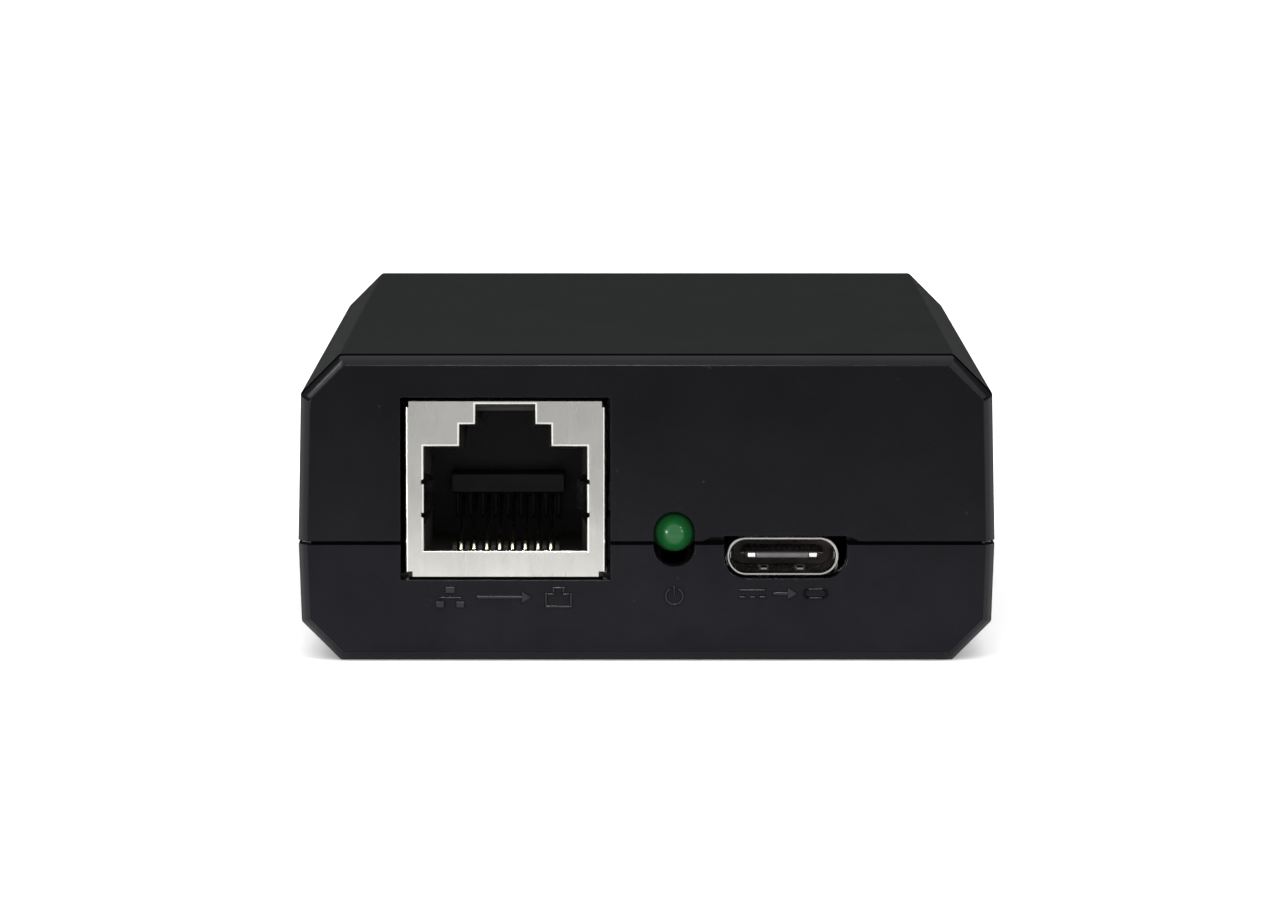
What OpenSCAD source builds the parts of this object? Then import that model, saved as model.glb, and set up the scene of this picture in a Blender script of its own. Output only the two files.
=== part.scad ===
// PoE splitter in a flat eight-sided desk case: two half shells meet on a grooved parting line.
// The outlet face (-Y) has a shielded data jack, a status light and a USB-C power outlet.
// The inlet face (+Y) has a second shielded jack. Units are mm, +Z is up, +X is right of the outlets.
// Origin: centre of the footprint, on the plane the case stands on.

/* [Case] */
// Width of the case at the parting line, its widest place
case_w = 55.3; // [54:0.05:57]
// Length of the case from outlet face to inlet face
case_l = 82; // [78:0.5:90]
// Height of the case
case_h = 24.45; // [24:0.05:26]
// Width across the upper side walls where the top chamfers start
top_w = 54.8; // [54:0.05:55.2]
// Width across the lower side walls where the bottom chamfers start
low_w = 54.85; // [54:0.05:55.2]
// Leg of the four long 45 degree chamfers
corner = 3.1; // [2.5:0.1:3.5]
// Height of the bevelled rim round each end face
rim_h = 0.75; // [0.5:0.05:1]
// Depth of the bevelled rim, along the case
rim_d = 1.1; // [0.8:0.1:1.6]
// Height of the parting line above the base
part_z = 9.6; // [9:0.1:10]
// Depth of the V groove along the parting line
groove_d = 0.2; // [0.1:0.05:0.3]
// Half height of the V groove along the parting line
groove_h = 0.3; // [0.1:0.05:0.4]
// Wall thickness of both shells
wall = 2; // [1.8:0.1:2.2]

/* [Fastening] */
// Distance of the case screws from the middle, across the case
screw_x = 20.6; // [20:0.1:21]
// Distance of the case screws from the middle, along the case
screw_y = 20.5; // [20:0.1:21]
// Height of the tongue of the lower shell above the parting line
tongue_h = 0.9; // [0.6:0.1:1.2]

/* [Board] */
// Width of the circuit board
board_w = 49.4; // [48:0.1:50]
// Length of the circuit board
board_l = 76.4; // [75:0.1:77]
// Thickness of the circuit board
board_t = 1.6; // [1.4:0.1:1.6]
// Height of the upper face of the circuit board
board_z = 6.75; // [6.5:0.05:6.9]

/* [Jacks] */
// Sideways position of both shielded jacks
jack_x = -11.19; // [-12:0.01:-10]
// Width of the jack shield
jack_w = 16; // [15.8:0.1:16.2]
// Height of the jack shield above the board
jack_h = 14; // [13.5:0.1:14.2]
// Depth of the jack shield
jack_d = 16; // [15:0.5:17]
// How far the jack front sits behind the case end face
jack_inset = 0.35; // [0.1:0.05:0.6]
// Pitch of the eight contact wires
wire_pitch = 1.02; // [1:0.01:1.04]
// Diameter of one contact wire
wire_d = 0.32; // [0.3:0.01:0.36]
// Slope of the free contact wires at rest, degrees
wire_slope = 18.4; // [17:0.1:19]
// Length of the free part of each contact wire
wire_len = 8.9; // [8.5:0.1:9]

/* [Light and USB-C outlet] */
// Sideways position of the status light
led_x = 2.2; // [1.8:0.1:2.6]
// Height of the status light axis
led_z = 10.1; // [9.9:0.1:10.3]
// Diameter of the status light
led_d = 3; // [2.9:0.05:3.05]
// Sideways position of the USB-C receptacle
usb_x = 10.8; // [10.5:0.05:11.2]
// Outside width of the USB-C receptacle shell
usb_w = 8.94; // [8.9:0.01:9]
// Outside height of the USB-C receptacle shell
usb_h = 3.16; // [3.1:0.01:3.2]
// Depth of the USB-C receptacle shell
usb_d = 7.35; // [7:0.05:7.5]
// How far the USB-C shell sits behind the outlet face
usb_inset = 0.7; // [0.4:0.1:1]

/* [Hidden] */
half_l = case_l / 2;
k = tan(22.5);
sheet = 0.25;
jack_cut_w = 16.63;
jack_cut_low = 6.53;
jack_cut_top = 21.05;
usb_cut_x = usb_x + 0.22;
rim_steps = [[0, rim_d], [0.75 * rim_h, rim_d / 6], [rim_h, 0]];
usb_z = board_z + usb_h / 2;
bend_r = 0.55;
bend_y = 2.2;
bend_z = 1.95;
hinge_y = bend_y - bend_r * sin(wire_slope);
hinge_z = bend_z + bend_r * cos(wire_slope);
sign_t = 0.15;
cap_c = [0.13, 0.14, 0.17];
steel_c = [0.78, 0.78, 0.76];
gold_c = [0.83, 0.68, 0.3];
black_c = [0.1, 0.1, 0.1];
copper_c = [0.72, 0.45, 0.2];

// Which sub-part to draw

// ---- shared shapes ----

// Section of the upper half, walls moved in by d, open edge at height z
function upper_pts(d, z) = [
  [-(case_w / 2 - d), z],
  [-(top_w / 2 - d), case_h - corner - k * d],
  [-(top_w / 2 - corner - k * d), case_h - d],
  [top_w / 2 - corner - k * d, case_h - d],
  [top_w / 2 - d, case_h - corner - k * d],
  [case_w / 2 - d, z]];

// Section of the lower half, walls moved in by d, open edge at height z
function lower_pts(d, z) = [
  [-(case_w / 2 - d), z],
  [-(low_w / 2 - d), corner + k * d],
  [-(low_w / 2 - corner - k * d), d],
  [low_w / 2 - corner - k * d, d],
  [low_w / 2 - d, corner + k * d],
  [case_w / 2 - d, z]];

// Sweep a 2D X-Z section along Y
module along_y(y0, y1) {
  translate([0, y1, 0])
    rotate([90, 0, 0])
      linear_extrude(y1 - y0)
        children();
}

// Box given by its corner ranges
module span(x0, x1, y0, y1, z0, z1) {
  translate([x0, y0, z0])
    cube([x1 - x0, y1 - y0, z1 - z0]);
}

// Flat slice of the parting plane, drawn in by the groove depth, at one step of the rim
module parting_slice(inset, depth) {
  square([case_w - 2 * groove_d - 2 * inset, case_l - 2 * groove_d - 2 * depth], center = true);
}

// Put children at the four screw places
module at_screws() {
  for (sx = [-1, 1])
    for (sy = [-1, 1])
      translate([sx * screw_x, sy * screw_y, 0])
        children();
}

// Outline of the light window: an upright slot
module led_window() {
  for (z = [9.2, 10.325])
    translate([led_x, z])
      circle(r = 1.625);
  translate([led_x - 1.625, 9.2])
    square([3.25, 1.125]);
}

// Outline of the USB-C window
module usb_window() {
  for (sx = [-1, 1])
    translate([usb_cut_x + sx * 3.15, 8.35])
      circle(r = 1.7);
  translate([usb_cut_x - 3.15, 6.65])
    square([6.3, 3.35]);
  translate([usb_cut_x - 4.85, 8.35])
    square([9.7, 1.65]);
}

// Shallow relief of the upper shell over the USB-C window
module usb_relief() {
  polygon([[usb_x - 6.4, part_z - 0.5], [usb_x - 6.4, part_z], [usb_x - 5.6, part_z + 0.37],
    [usb_x + 5.45, part_z + 0.37], [usb_x + 6.1, part_z], [usb_x + 6.1, part_z - 0.5]]);
}

// All openings of the two end walls
module end_windows() {
  for (sy = [-1, 1])
    translate([jack_x - jack_cut_w / 2, sy * (half_l - 1.25) - 2, jack_cut_low])
      cube([jack_cut_w, 4, jack_cut_top - jack_cut_low]);
  along_y(-half_l - 1, -half_l + wall + 1)
    led_window();
  along_y(-half_l - 1, -half_l + wall + 1)
    usb_window();
}

// Stadium section centred on the origin
module stadium(w, h) {
  for (sx = [-1, 1])
    translate([sx * (w - h) / 2, 0])
      circle(r = h / 2);
  square([w - h, h], center = true);
}

// Arrow pointing to +X, starting at the origin
module arrow(len) {
  translate([0, -0.14])
    square([len - 0.7, 0.28]);
  polygon([[len - 0.85, -0.55], [len, 0], [len - 0.85, 0.55]]);
}

// Network tree sign: one box above two boxes
module tree_sign() {
  translate([-0.4, 0.3])
    square([0.8, 0.55]);
  for (sx = [-1, 1])
    translate([sx * 0.8 - 0.35, -0.85])
      square([0.7, 0.55]);
  translate([-0.9, -0.12])
    square([1.8, 0.18]);
  translate([-0.09, -0.12])
    square([0.18, 0.5]);
  for (sx = [-1, 1])
    translate([sx * 0.8 - 0.09, -0.4])
      square([0.18, 0.4]);
}

// Jack outline sign: stepped frame
module jack_sign() {
  difference() {
    union() {
      translate([-1.1, -0.85])
        square([2.2, 1.2]);
      translate([-0.5, -0.85])
        square([1, 1.7]);
    }
    union() {
      translate([-0.88, -0.63])
        square([1.76, 0.76]);
      translate([-0.28, -0.63])
        square([0.56, 1.26]);
    }
  }
}

// Power sign: open ring with a bar
module power_sign() {
  difference() {
    circle(r = 0.78);
    circle(r = 0.56);
    translate([-0.28, 0.1])
      square([0.56, 1]);
  }
  translate([-0.1, 0])
    square([0.2, 0.85]);
}

// Direct current sign: long bar above three short ones
module dc_sign() {
  translate([-1.05, 0.15])
    square([2.1, 0.24]);
  for (sx = [-1, 0, 1])
    translate([sx * 0.79 - 0.26, -0.4])
      square([0.52, 0.24]);
}

// Raised sign under the inlet: arrow into the case, read from behind
module inlet_signs() {
  translate([jack_x + 4.2, 5.15])
    jack_sign();
  translate([jack_x + 2.3, 5.15])
    mirror([1, 0])
      arrow(4.4);
  translate([jack_x - 4.4, 5.15])
    tree_sign();
}

// Raised signs under the three outlets
module outlet_signs() {
  translate([jack_x - 4.4, 5.15])
    tree_sign();
  translate([jack_x - 2.3, 5.15])
    arrow(4.4);
  translate([jack_x + 4.2, 5.15])
    jack_sign();
  translate([led_x, 5.25])
    power_sign();
  translate([usb_x - 2.4, 5.45])
    dc_sign();
  translate([usb_x - 0.8, 5.45])
    arrow(2);
  translate([usb_x + 2.6, 5.45])
    difference() {
      stadium(2, 0.9);
      stadium(1.6, 0.5);
    }
}

// ---- case ----

module upper_shell() {
  color(cap_c)
    difference() {
      union() {
        difference() {
          hull()
            for (s = rim_steps) {
              along_y(-half_l + s[1], half_l - s[1])
                polygon(upper_pts(s[0], part_z + groove_h));
              translate([0, 0, part_z])
                linear_extrude(0.05)
                  parting_slice(s[0], s[1]);
            }
          along_y(-half_l + wall, half_l - wall)
            polygon(upper_pts(wall, part_z - 1));
          translate([0, 0, part_z - 1])
            linear_extrude(tongue_h + 1.1)
              square([case_w - 2, case_l - 2], center = true);
        }
        at_screws()
          translate([0, 0, board_z])
            cylinder(r = 3, h = case_h - wall - board_z + 0.2);
        for (sy = [-1, 1])
          for (x = [jack_x - 4, jack_x + 4])
            translate([x - 0.6, sy * 32 - 5, jack_cut_top - 0.18])
              cube([1.2, 10, case_h - wall - jack_cut_top + 0.4]);
      }
      at_screws()
        translate([0, 0, board_z - 1])
          cylinder(r = 1.3, h = 10);
      end_windows();
      along_y(-half_l - 1, -half_l + wall + 1)
        usb_relief();
    }
}

module lower_shell() {
  color(cap_c)
    union() {
      difference() {
        union() {
          hull()
            for (s = rim_steps) {
              along_y(-half_l + s[1], half_l - s[1])
                polygon(lower_pts(s[0], part_z - groove_h));
              translate([0, 0, part_z - 0.05])
                linear_extrude(0.05)
                  parting_slice(s[0], s[1]);
            }
          translate([0, 0, part_z - 1])
            linear_extrude(tongue_h + 1)
              square([case_w - 2.2, case_l - 2.2], center = true);
        }
        difference() {
          along_y(-half_l + wall, half_l - wall)
            polygon(lower_pts(wall, part_z + 2));
          at_screws()
            cylinder(r = 4, h = board_z - board_t);
          for (sx = [-1, 1])
            for (y = [-33, 0, 33])
              translate([sx * 24.2, y, 0])
                cylinder(r = 1.4, h = board_z - board_t);
        }
        at_screws()
          translate([0, 0, -1])
            cylinder(r = 2.75, h = 3.5);
        at_screws()
          cylinder(r = 1.6, h = 10);
        end_windows();
      }
      along_y(-half_l - sign_t, -half_l + 0.3)
        outlet_signs();
      along_y(half_l - 0.3, half_l + sign_t)
        inlet_signs();
    }
}

module case_screws() {
  color(steel_c)
    at_screws()
      difference() {
        union() {
          translate([0, 0, 0.9])
            cylinder(r = 2.3, h = 1.6);
          translate([0, 0, 2.4])
            cylinder(r = 1.25, h = 11);
        }
        span(-1.3, 1.3, -0.3, 0.3, 0.5, 1.7);
        span(-0.3, 0.3, -1.3, 1.3, 0.5, 1.7);
      }
}

// ---- circuit board ----

// Put children at both jacks, in the jack's own frame: origin at its front face on the board
module at_data_jack() {
  translate([jack_x, -half_l + jack_inset, board_z])
    children();
}

module at_inlet_jack() {
  translate([jack_x, half_l - jack_inset, board_z])
    rotate([0, 0, 180])
      children();
}

// Solder leg places of the eight wires, in two staggered rows
function leg_y(i) = i % 2 == 0 ? 6.5 : 9;
function wire_x(i) = (i - 3.5) * wire_pitch;

// Holes a jack needs in the board
module jack_holes() {
  for (i = [0 : 7])
    translate([wire_x(i), leg_y(i), -3])
      cylinder(r = 0.35, h = 6);
  for (sx = [-1, 1])
    translate([sx * (jack_w / 2 - sheet / 2) - 0.35, 8.4, -3])
      cube([0.7, 2.2, 6]);
}

module main_board() {
  color([0.1, 0.36, 0.2])
    difference() {
      span(-board_w / 2, board_w / 2, -board_l / 2, board_l / 2, board_z - board_t, board_z);
      at_screws()
        cylinder(r = 1.8, h = 20);
      at_data_jack()
        jack_holes();
      at_inlet_jack()
        jack_holes();
      for (sx = [-1, 1])
        translate([led_x + sx * 1.27, -32.2, 0])
          cylinder(r = 0.5, h = 20);
      for (sx = [-1, 1])
        for (y = [-37.1, -33.6])
          translate([usb_x + sx * 4.35 - 0.5, y - 0.7, 0])
            cube([1, 1.4, 20]);
      for (sy = [-1, 1])
        for (i = [0 : 3])
          translate([8.25 + i * 2.5, 1 + sy * 7.4, 0])
            cylinder(r = 0.5, h = 20);
      for (c = [[13.5, 28, 2.5], [3.6, -19.5, 1.75], [2.6, -11.3, 1.75]])
        for (s = [-1, 1])
          translate([c[0] + s * c[2], c[1], 0])
            cylinder(r = 0.45, h = 20);
      for (s = [-1, 1])
        translate([-0.6, 12 + s * 2.5, 0])
          cylinder(r = 0.45, h = 20);
    }
}

// ---- shielded jack, in its own frame ----

// Opening of the sheet front, X-Z outline with the small V notches beside the grounding leaf
module shield_opening() {
  polygon([[-6.45, 2.07], [6.45, 2.07], [6.45, 4.74], [6.67, 4.89], [6.45, 5.04], [6.45, 7.43],
    [6.67, 7.58], [6.45, 7.73], [6.45, 10.35], [3.6, 10.35], [3.6, 12.1], [2.33, 12.1],
    [2.33, 13.7], [-2.33, 13.7], [-2.33, 12.1], [-3.6, 12.1], [-3.6, 10.35], [-6.45, 10.35],
    [-6.45, 7.73], [-6.67, 7.58], [-6.45, 7.43], [-6.45, 5.04], [-6.67, 4.89], [-6.45, 4.74]]);
}

// Plug space of the plastic housing, X-Z outline
module plug_space() {
  polygon([[-6.05, 2.06], [6.05, 2.06], [6.05, 4.5], [6.75, 4.5], [6.75, 7.9], [6.05, 7.9],
    [6.05, 10], [3.4, 10], [3.4, 11.8], [2.15, 11.8], [2.15, 13.2], [-2.15, 13.2],
    [-2.15, 11.8], [-3.4, 11.8], [-3.4, 10], [-6.05, 10], [-6.05, 7.9], [-6.75, 7.9],
    [-6.75, 4.5], [-6.05, 4.5]]);
}

module jack_shield() {
  color(steel_c)
    union() {
      difference() {
        span(-jack_w / 2, jack_w / 2, 0, jack_d, 0, jack_h);
        span(-jack_w / 2 + sheet, jack_w / 2 - sheet, sheet, jack_d - sheet, -1, jack_h - sheet);
        along_y(-1, 1)
          shield_opening();
        for (sx = [-1, 1])
          translate([sx * jack_w / 2 - 0.62, -1, -1])
            cube([1.24, 4, 1.42]);
        for (sx = [-1, 1])
          translate([sx * jack_w / 2 - 0.35, -1, jack_h - 0.5])
            cube([0.7, 4, 1.5]);
      }
      for (sx = [-1, 1])
        mirror([sx > 0 ? 0 : 1, 0, 0]) {
          translate([jack_w / 2 - sheet, 8.7, -2.4])
            cube([sheet, 1.6, 2.6]);
          translate([0, 0, 5.14])
            linear_extrude(2.19)
              polygon([[6.45, 0.1], [6.65, 0.1], [6.15, 3], [6.4, 6], [6.2, 6], [5.92, 3]]);
        }
    }
}

module jack_housing() {
  color(black_c)
    difference() {
      span(-7.7, 7.7, sheet + 0.03, 12, 0, 13.65);
      along_y(-1, 13)
        plug_space();
      span(-4.2, 4.2, 1.35, 13, 1.1, 3);
      span(-4.2, 4.2, 5.9, 9.6, -1, 3);
      span(-8, -7.4, 8.2, 10.8, -1, 1.5);
      span(7.4, 8, 8.2, 10.8, -1, 1.5);
    }
}

module jack_insert() {
  color([0.16, 0.16, 0.17])
    union() {
      span(-7.7, 7.7, 12.05, jack_d - sheet - 0.05, 0, 13.6);
      for (i = [0 : 8])
        span((i - 4) * wire_pitch - 0.15, (i - 4) * wire_pitch + 0.15, 10, 12.2, 3.4, 5.6);
      span(-4.53, 4.53, 9.9, 12.2, 5.5, 7.2);
    }
}

module jack_contacts() {
  color(gold_c)
    for (i = [0 : 7])
      translate([wire_x(i), hinge_y, hinge_z])
        rotate([wire_slope - 90, 0, 0])
          cylinder(d = wire_d, h = wire_len);
}

module jack_pins() {
  color(gold_c)
    for (i = [0 : 7])
      translate([wire_x(i), 0, 0]) {
        translate([0, bend_y, bend_z])
          rotate([0, 0, 90])
            rotate([90, 0, 0])
              rotate([0, 0, 117])
                rotate_extrude(angle = 153)
                  translate([bend_r, 0])
                    circle(d = wire_d);
        translate([0, bend_y, bend_z - bend_r])
          rotate([-90, 0, 0])
            cylinder(d = wire_d, h = leg_y(i) - bend_y);
        translate([0, leg_y(i), -2.5])
          cylinder(d = wire_d + 0.02, h = 2.5 + bend_z - bend_r + wire_d / 2);
      }
}

module data_jack_shield() {
  at_data_jack() jack_shield();
}

module data_jack_housing() {
  at_data_jack() jack_housing();
}

module data_jack_insert() {
  at_data_jack() jack_insert();
}

module data_jack_contacts() {
  at_data_jack() jack_contacts();
}

module data_jack_pins() {
  at_data_jack() jack_pins();
}

module inlet_jack_shield() {
  at_inlet_jack() jack_shield();
}

module inlet_jack_housing() {
  at_inlet_jack() jack_housing();
}

module inlet_jack_insert() {
  at_inlet_jack() jack_insert();
}

module inlet_jack_contacts() {
  at_inlet_jack() jack_contacts();
}

module inlet_jack_pins() {
  at_inlet_jack() jack_pins();
}

// ---- USB-C receptacle ----

// Receptacle frame: origin at the middle of its mouth
module at_usb() {
  translate([usb_x, -half_l + usb_inset, usb_z])
    children();
}

module usb_shell() {
  color(steel_c)
    at_usb()
      union() {
        difference() {
          along_y(0, usb_d)
            stadium(usb_w, usb_h);
          along_y(-1, usb_d - 0.3)
            stadium(usb_w - 0.5, usb_h - 0.5);
          span(-3.4, 3.4, usb_d - 1, usb_d + 1, -usb_h / 2 - 1, -0.4);
        }
        for (sx = [-1, 1])
          for (y = [3.2, 6.7])
            translate([sx * 4.35 - 0.12, y - 0.5, -usb_h / 2 - 2.2])
              cube([0.24, 1, 2.2 + usb_h / 2]);
      }
}

module usb_tongue() {
  color(black_c)
    at_usb()
      difference() {
        union() {
          along_y(5, usb_d - 0.35)
            stadium(usb_w - 0.6, usb_h - 0.6);
          span(-2.95, 2.95, 0.9, 5.5, -0.35, 0.35);
        }
        span(-3.4, 3.4, 1, 5.8, -0.08, 0.08);
        for (sx = [-1, 1])
          span(sx * 2.65 - 0.38, sx * 2.65 + 0.38, 0.8, 1.65, -0.19, 0.19);
      }
}

module usb_contacts() {
  color(gold_c)
    at_usb()
      for (i = [0 : 11])
        for (z = [0.35, -0.39])
          span((i - 5.5) * 0.48 - 0.12, (i - 5.5) * 0.48 + 0.12, 1.4, 5, z, z + 0.04);
}

module usb_midplate() {
  color(steel_c)
    at_usb()
      union() {
        span(-2.9, 2.9, 1.05, 5.75, -0.07, 0.07);
        span(-3.3, 3.3, 2.2, 5.75, -0.07, 0.07);
        for (sx = [-1, 1])
          span(sx * 2.65 - 0.3, sx * 2.65 + 0.3, 0.92, 1.6, -0.17, 0.17);
      }
}

// ---- status light ----

module led_lens() {
  color([0.1, 0.5, 0.25])
    translate([led_x, -40.5, led_z])
      rotate([-90, 0, 0])
        union() {
          intersection() {
            translate([0, 0, led_d / 2])
              sphere(d = led_d);
            cylinder(r = led_d, h = led_d / 2);
          }
          translate([0, 0, led_d / 2])
            cylinder(d = led_d, h = 2.9);
          translate([0, 0, 4.2])
            cylinder(d = 3.8, h = 1);
        }
}

module led_leads() {
  color(steel_c)
    for (sx = [-1, 1])
      translate([led_x + sx * 1.27, 0, 0]) {
        span(-0.25, 0.25, -35.29, -31.95, led_z - 0.25, led_z + 0.25);
        span(-0.25, 0.25, -32.45, -31.95, 3.6, led_z + 0.25);
      }
}

// ---- components on the board ----

// Gull wing lead: foot on the board, riser, and entry into a body whose side is at x = 0
module gull(w, rise) {
  span(-0.1, 0.55, -w / 2, w / 2, rise, rise + 0.18);
  span(0.37, 0.55, -w / 2, w / 2, 0, rise + 0.18);
  span(0.37, 1.25, -w / 2, w / 2, 0, 0.18);
}

// Two rows of gull wings on the +X and -X sides of a body of width bw
module gull_rows(bw, n, pitch, w, rise) {
  for (s = [0, 180])
    rotate([0, 0, s])
      for (i = [0 : n - 1])
        translate([bw / 2 + 0.1, (i - (n - 1) / 2) * pitch, 0])
          gull(w, rise);
}

module lan_magnetics() {
  color(black_c)
    translate([jack_x, 0, board_z])
      difference() {
        span(-4.75, 4.75, -8.6, 8.6, 0.25, 6);
        translate([-3.6, 7.6, 5.8])
          cylinder(r = 0.5, h = 1);
      }
}

module lan_magnetics_leads() {
  color(steel_c)
    translate([jack_x, 0, board_z])
      gull_rows(9.5, 12, 1.27, 0.5, 2);
}

module transformer_core() {
  color([0.24, 0.23, 0.22])
    translate([12, 1, board_z])
      difference() {
        span(-7.5, 7.5, -2.75, 2.75, 1.6, 12.6);
        for (x = [-5.2, 2])
          span(x, x + 3.2, -4, 4, 3.8, 10.4);
      }
}

module transformer_bobbin() {
  color([0.12, 0.12, 0.12])
    translate([12, 1, board_z])
      union() {
        difference() {
          union() {
            span(-2.3, 2.3, -3.1, 3.1, 3.85, 10.35);
            for (z = [3.85, 9.75])
              span(-5.1, 5.1, -6.2, 6.2, z, z + 0.6);
          }
          span(-2.05, 2.05, -2.85, 2.85, 3, 11);
        }
        for (sy = [-1, 1])
          span(-5.5, 5.5, sy * 7 - 1.9, sy * 7 + 1.9, 0.6, 3.9);
      }
}

module transformer_winding() {
  color([0.85, 0.75, 0.25])
    translate([12, 1, board_z])
      difference() {
        span(-4.9, 4.9, -5.9, 5.9, 4.5, 9.7);
        span(-2.35, 2.35, -3.15, 3.15, 4, 11);
      }
}

module transformer_pins() {
  color(steel_c)
    for (sy = [-1, 1])
      for (i = [0 : 3])
        translate([8.25 + i * 2.5, 1 + sy * 7.4, 3.8])
          cylinder(r = 0.35, h = board_z + 0.6 - 3.8);
}

module bridge_rectifiers() {
  color(black_c)
    for (y = [27, 34])
      translate([3, y, board_z])
        span(-2, 2, -2.35, 2.35, 0.15, 2.6);
}

module bridge_leads() {
  color(steel_c)
    for (y = [27, 34])
      translate([3, y, board_z])
        gull_rows(4, 2, 2.54, 0.6, 0.9);
}

module pd_controller() {
  color(black_c)
    translate([2.2, 18.6, board_z])
      difference() {
        span(-1.95, 1.95, -2.45, 2.45, 0.15, 1.7);
        translate([-1.3, 1.8, 1.6])
          cylinder(r = 0.35, h = 1);
      }
}

module controller_leads() {
  color(steel_c)
    translate([2.2, 18.6, board_z])
      gull_rows(3.9, 4, 1.27, 0.42, 0.75);
}

module switch_transistor() {
  color(black_c)
    translate([12, 16.2, board_z])
      union() {
        span(-3.25, 3.25, -3, 3, 0, 2.3);
        span(-2.6, 2.6, 3, 4.1, 0, 0.5);
      }
}

module optocoupler() {
  color([0.9, 0.9, 0.87])
    translate([-0.6, 1, board_z])
      span(-1.8, 1.8, -2.3, 2.3, 0.2, 2.4);
}

module optocoupler_leads() {
  color(steel_c)
    translate([-0.6, 1, board_z])
      gull_rows(3.6, 2, 2.54, 0.5, 1.1);
}

module output_diode() {
  color(black_c)
    translate([19.2, -12.3, board_z])
      union() {
        span(-2.95, 2.95, -3.4, 3.4, 0.2, 2.4);
        span(-1.5, 1.5, -3.9, 3.9, 0, 0.6);
      }
}

module input_capacitor() {
  color([0.1, 0.12, 0.28])
    translate([13.5, 28, board_z])
      difference() {
        cylinder(d = 10, h = 12.5);
        span(-2.6, 2.6, -0.1, 0.1, 12.35, 13);
        span(-0.1, 0.1, -2.6, 2.6, 12.35, 13);
      }
}

module output_capacitors() {
  color([0.1, 0.12, 0.28])
    for (c = [[3.6, -19.5], [2.6, -11.3]])
      translate([c[0], c[1], board_z])
        difference() {
          cylinder(d = 8, h = 11.5);
          span(-2.1, 2.1, -0.1, 0.1, 11.35, 12);
          span(-0.1, 0.1, -2.1, 2.1, 11.35, 12);
        }
}

module capacitor_leads() {
  color(steel_c)
    for (c = [[13.5, 28, 2.5], [3.6, -19.5, 1.75], [2.6, -11.3, 1.75]])
      for (s = [-1, 1])
        translate([c[0] + s * c[2], c[1], 3.8])
          cylinder(r = 0.3, h = board_z - 3.8);
}

module output_inductor() {
  color([0.3, 0.3, 0.31])
    translate([12.2, -17.2, board_z])
      difference() {
        span(-3.6, 3.6, -3.6, 3.6, 0, 4.5);
        translate([0, 0, 4.1])
          difference() {
            cylinder(r = 3.1, h = 1);
            cylinder(r = 2.5, h = 2, center = true);
          }
      }
}

module y_capacitor() {
  color([0.2, 0.35, 0.6])
    translate([-0.6, 12, board_z + 4.6])
      rotate([0, 90, 0])
        union() {
          cylinder(d = 7.6, h = 3.2, center = true);
          for (s = [-1, 1])
            translate([0, s * 2.5, 0])
              rotate([0, 90, 0])
                cylinder(d = 0.6, h = 7.3);
        }
}

module surge_diode() {
  color(black_c)
    translate([20.5, 35, board_z])
      union() {
        span(-1.9, 1.9, -2.2, 2.2, 0.2, 2.3);
        span(-1.1, 1.1, -2.65, 2.65, 0, 0.55);
      }
}

module usb_power_chip() {
  color(black_c)
    translate([10.8, -26.6, board_z])
      difference() {
        span(-2.5, 2.5, -2.5, 2.5, 0, 0.9);
        translate([-1.9, 1.9, 0.8])
          cylinder(r = 0.3, h = 1);
      }
}

module chip_resistors() {
  color(black_c)
    for (c = [[17, -27], [17, -29.5], [5.6, -27], [5.6, -29.5], [-1.6, 18.5], [-1.6, 21],
        [7.4, 22], [20.8, -4], [20.8, 0], [20.8, 4]])
      translate([c[0], c[1], board_z])
        span(-0.8, 0.8, -0.4, 0.4, 0, 0.5);
}

module chip_capacitors() {
  color([0.6, 0.5, 0.38])
    for (c = [[17.2, -32], [17.2, -34.5], [-1.7, -30], [4.6, -25], [20.9, 9], [20.9, 12], [-1.6, 24],
        [-1.6, 31], [9.4, 35.5], [12, -11.5]])
      translate([c[0], c[1], board_z])
        span(-1, 1, -0.6, 0.6, 0, 0.9);
}

upper_shell();
lower_shell();
case_screws();
main_board();
data_jack_shield();
data_jack_housing();
data_jack_insert();
data_jack_contacts();
data_jack_pins();
inlet_jack_shield();
inlet_jack_housing();
inlet_jack_insert();
inlet_jack_contacts();
inlet_jack_pins();
usb_shell();
usb_tongue();
usb_contacts();
usb_midplate();
led_lens();
led_leads();
lan_magnetics();
lan_magnetics_leads();
transformer_core();
transformer_bobbin();
transformer_winding();
transformer_pins();
bridge_rectifiers();
bridge_leads();
pd_controller();
controller_leads();
switch_transistor();
optocoupler();
optocoupler_leads();
output_diode();
input_capacitor();
output_capacitors();
capacitor_leads();
output_inductor();
y_capacitor();
surge_diode();
usb_power_chip();
chip_resistors();
chip_capacitors();
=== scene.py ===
"""Looks of the PoE splitter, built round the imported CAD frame.

All geometry helpers take millimetres in the part's own frame: +X is right of the outlets,
the outlet face looks along -Y, the inlet face along +Y, +Z is up.
"""

import math

import bmesh
import bpy
from mathutils import Matrix, Vector


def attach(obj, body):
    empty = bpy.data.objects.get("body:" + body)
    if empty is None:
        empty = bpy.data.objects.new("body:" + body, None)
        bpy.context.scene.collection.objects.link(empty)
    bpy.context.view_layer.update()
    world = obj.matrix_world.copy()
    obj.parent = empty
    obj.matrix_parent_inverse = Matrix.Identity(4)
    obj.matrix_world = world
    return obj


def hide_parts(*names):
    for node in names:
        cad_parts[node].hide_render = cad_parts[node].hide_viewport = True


MM = 0.001

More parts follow.
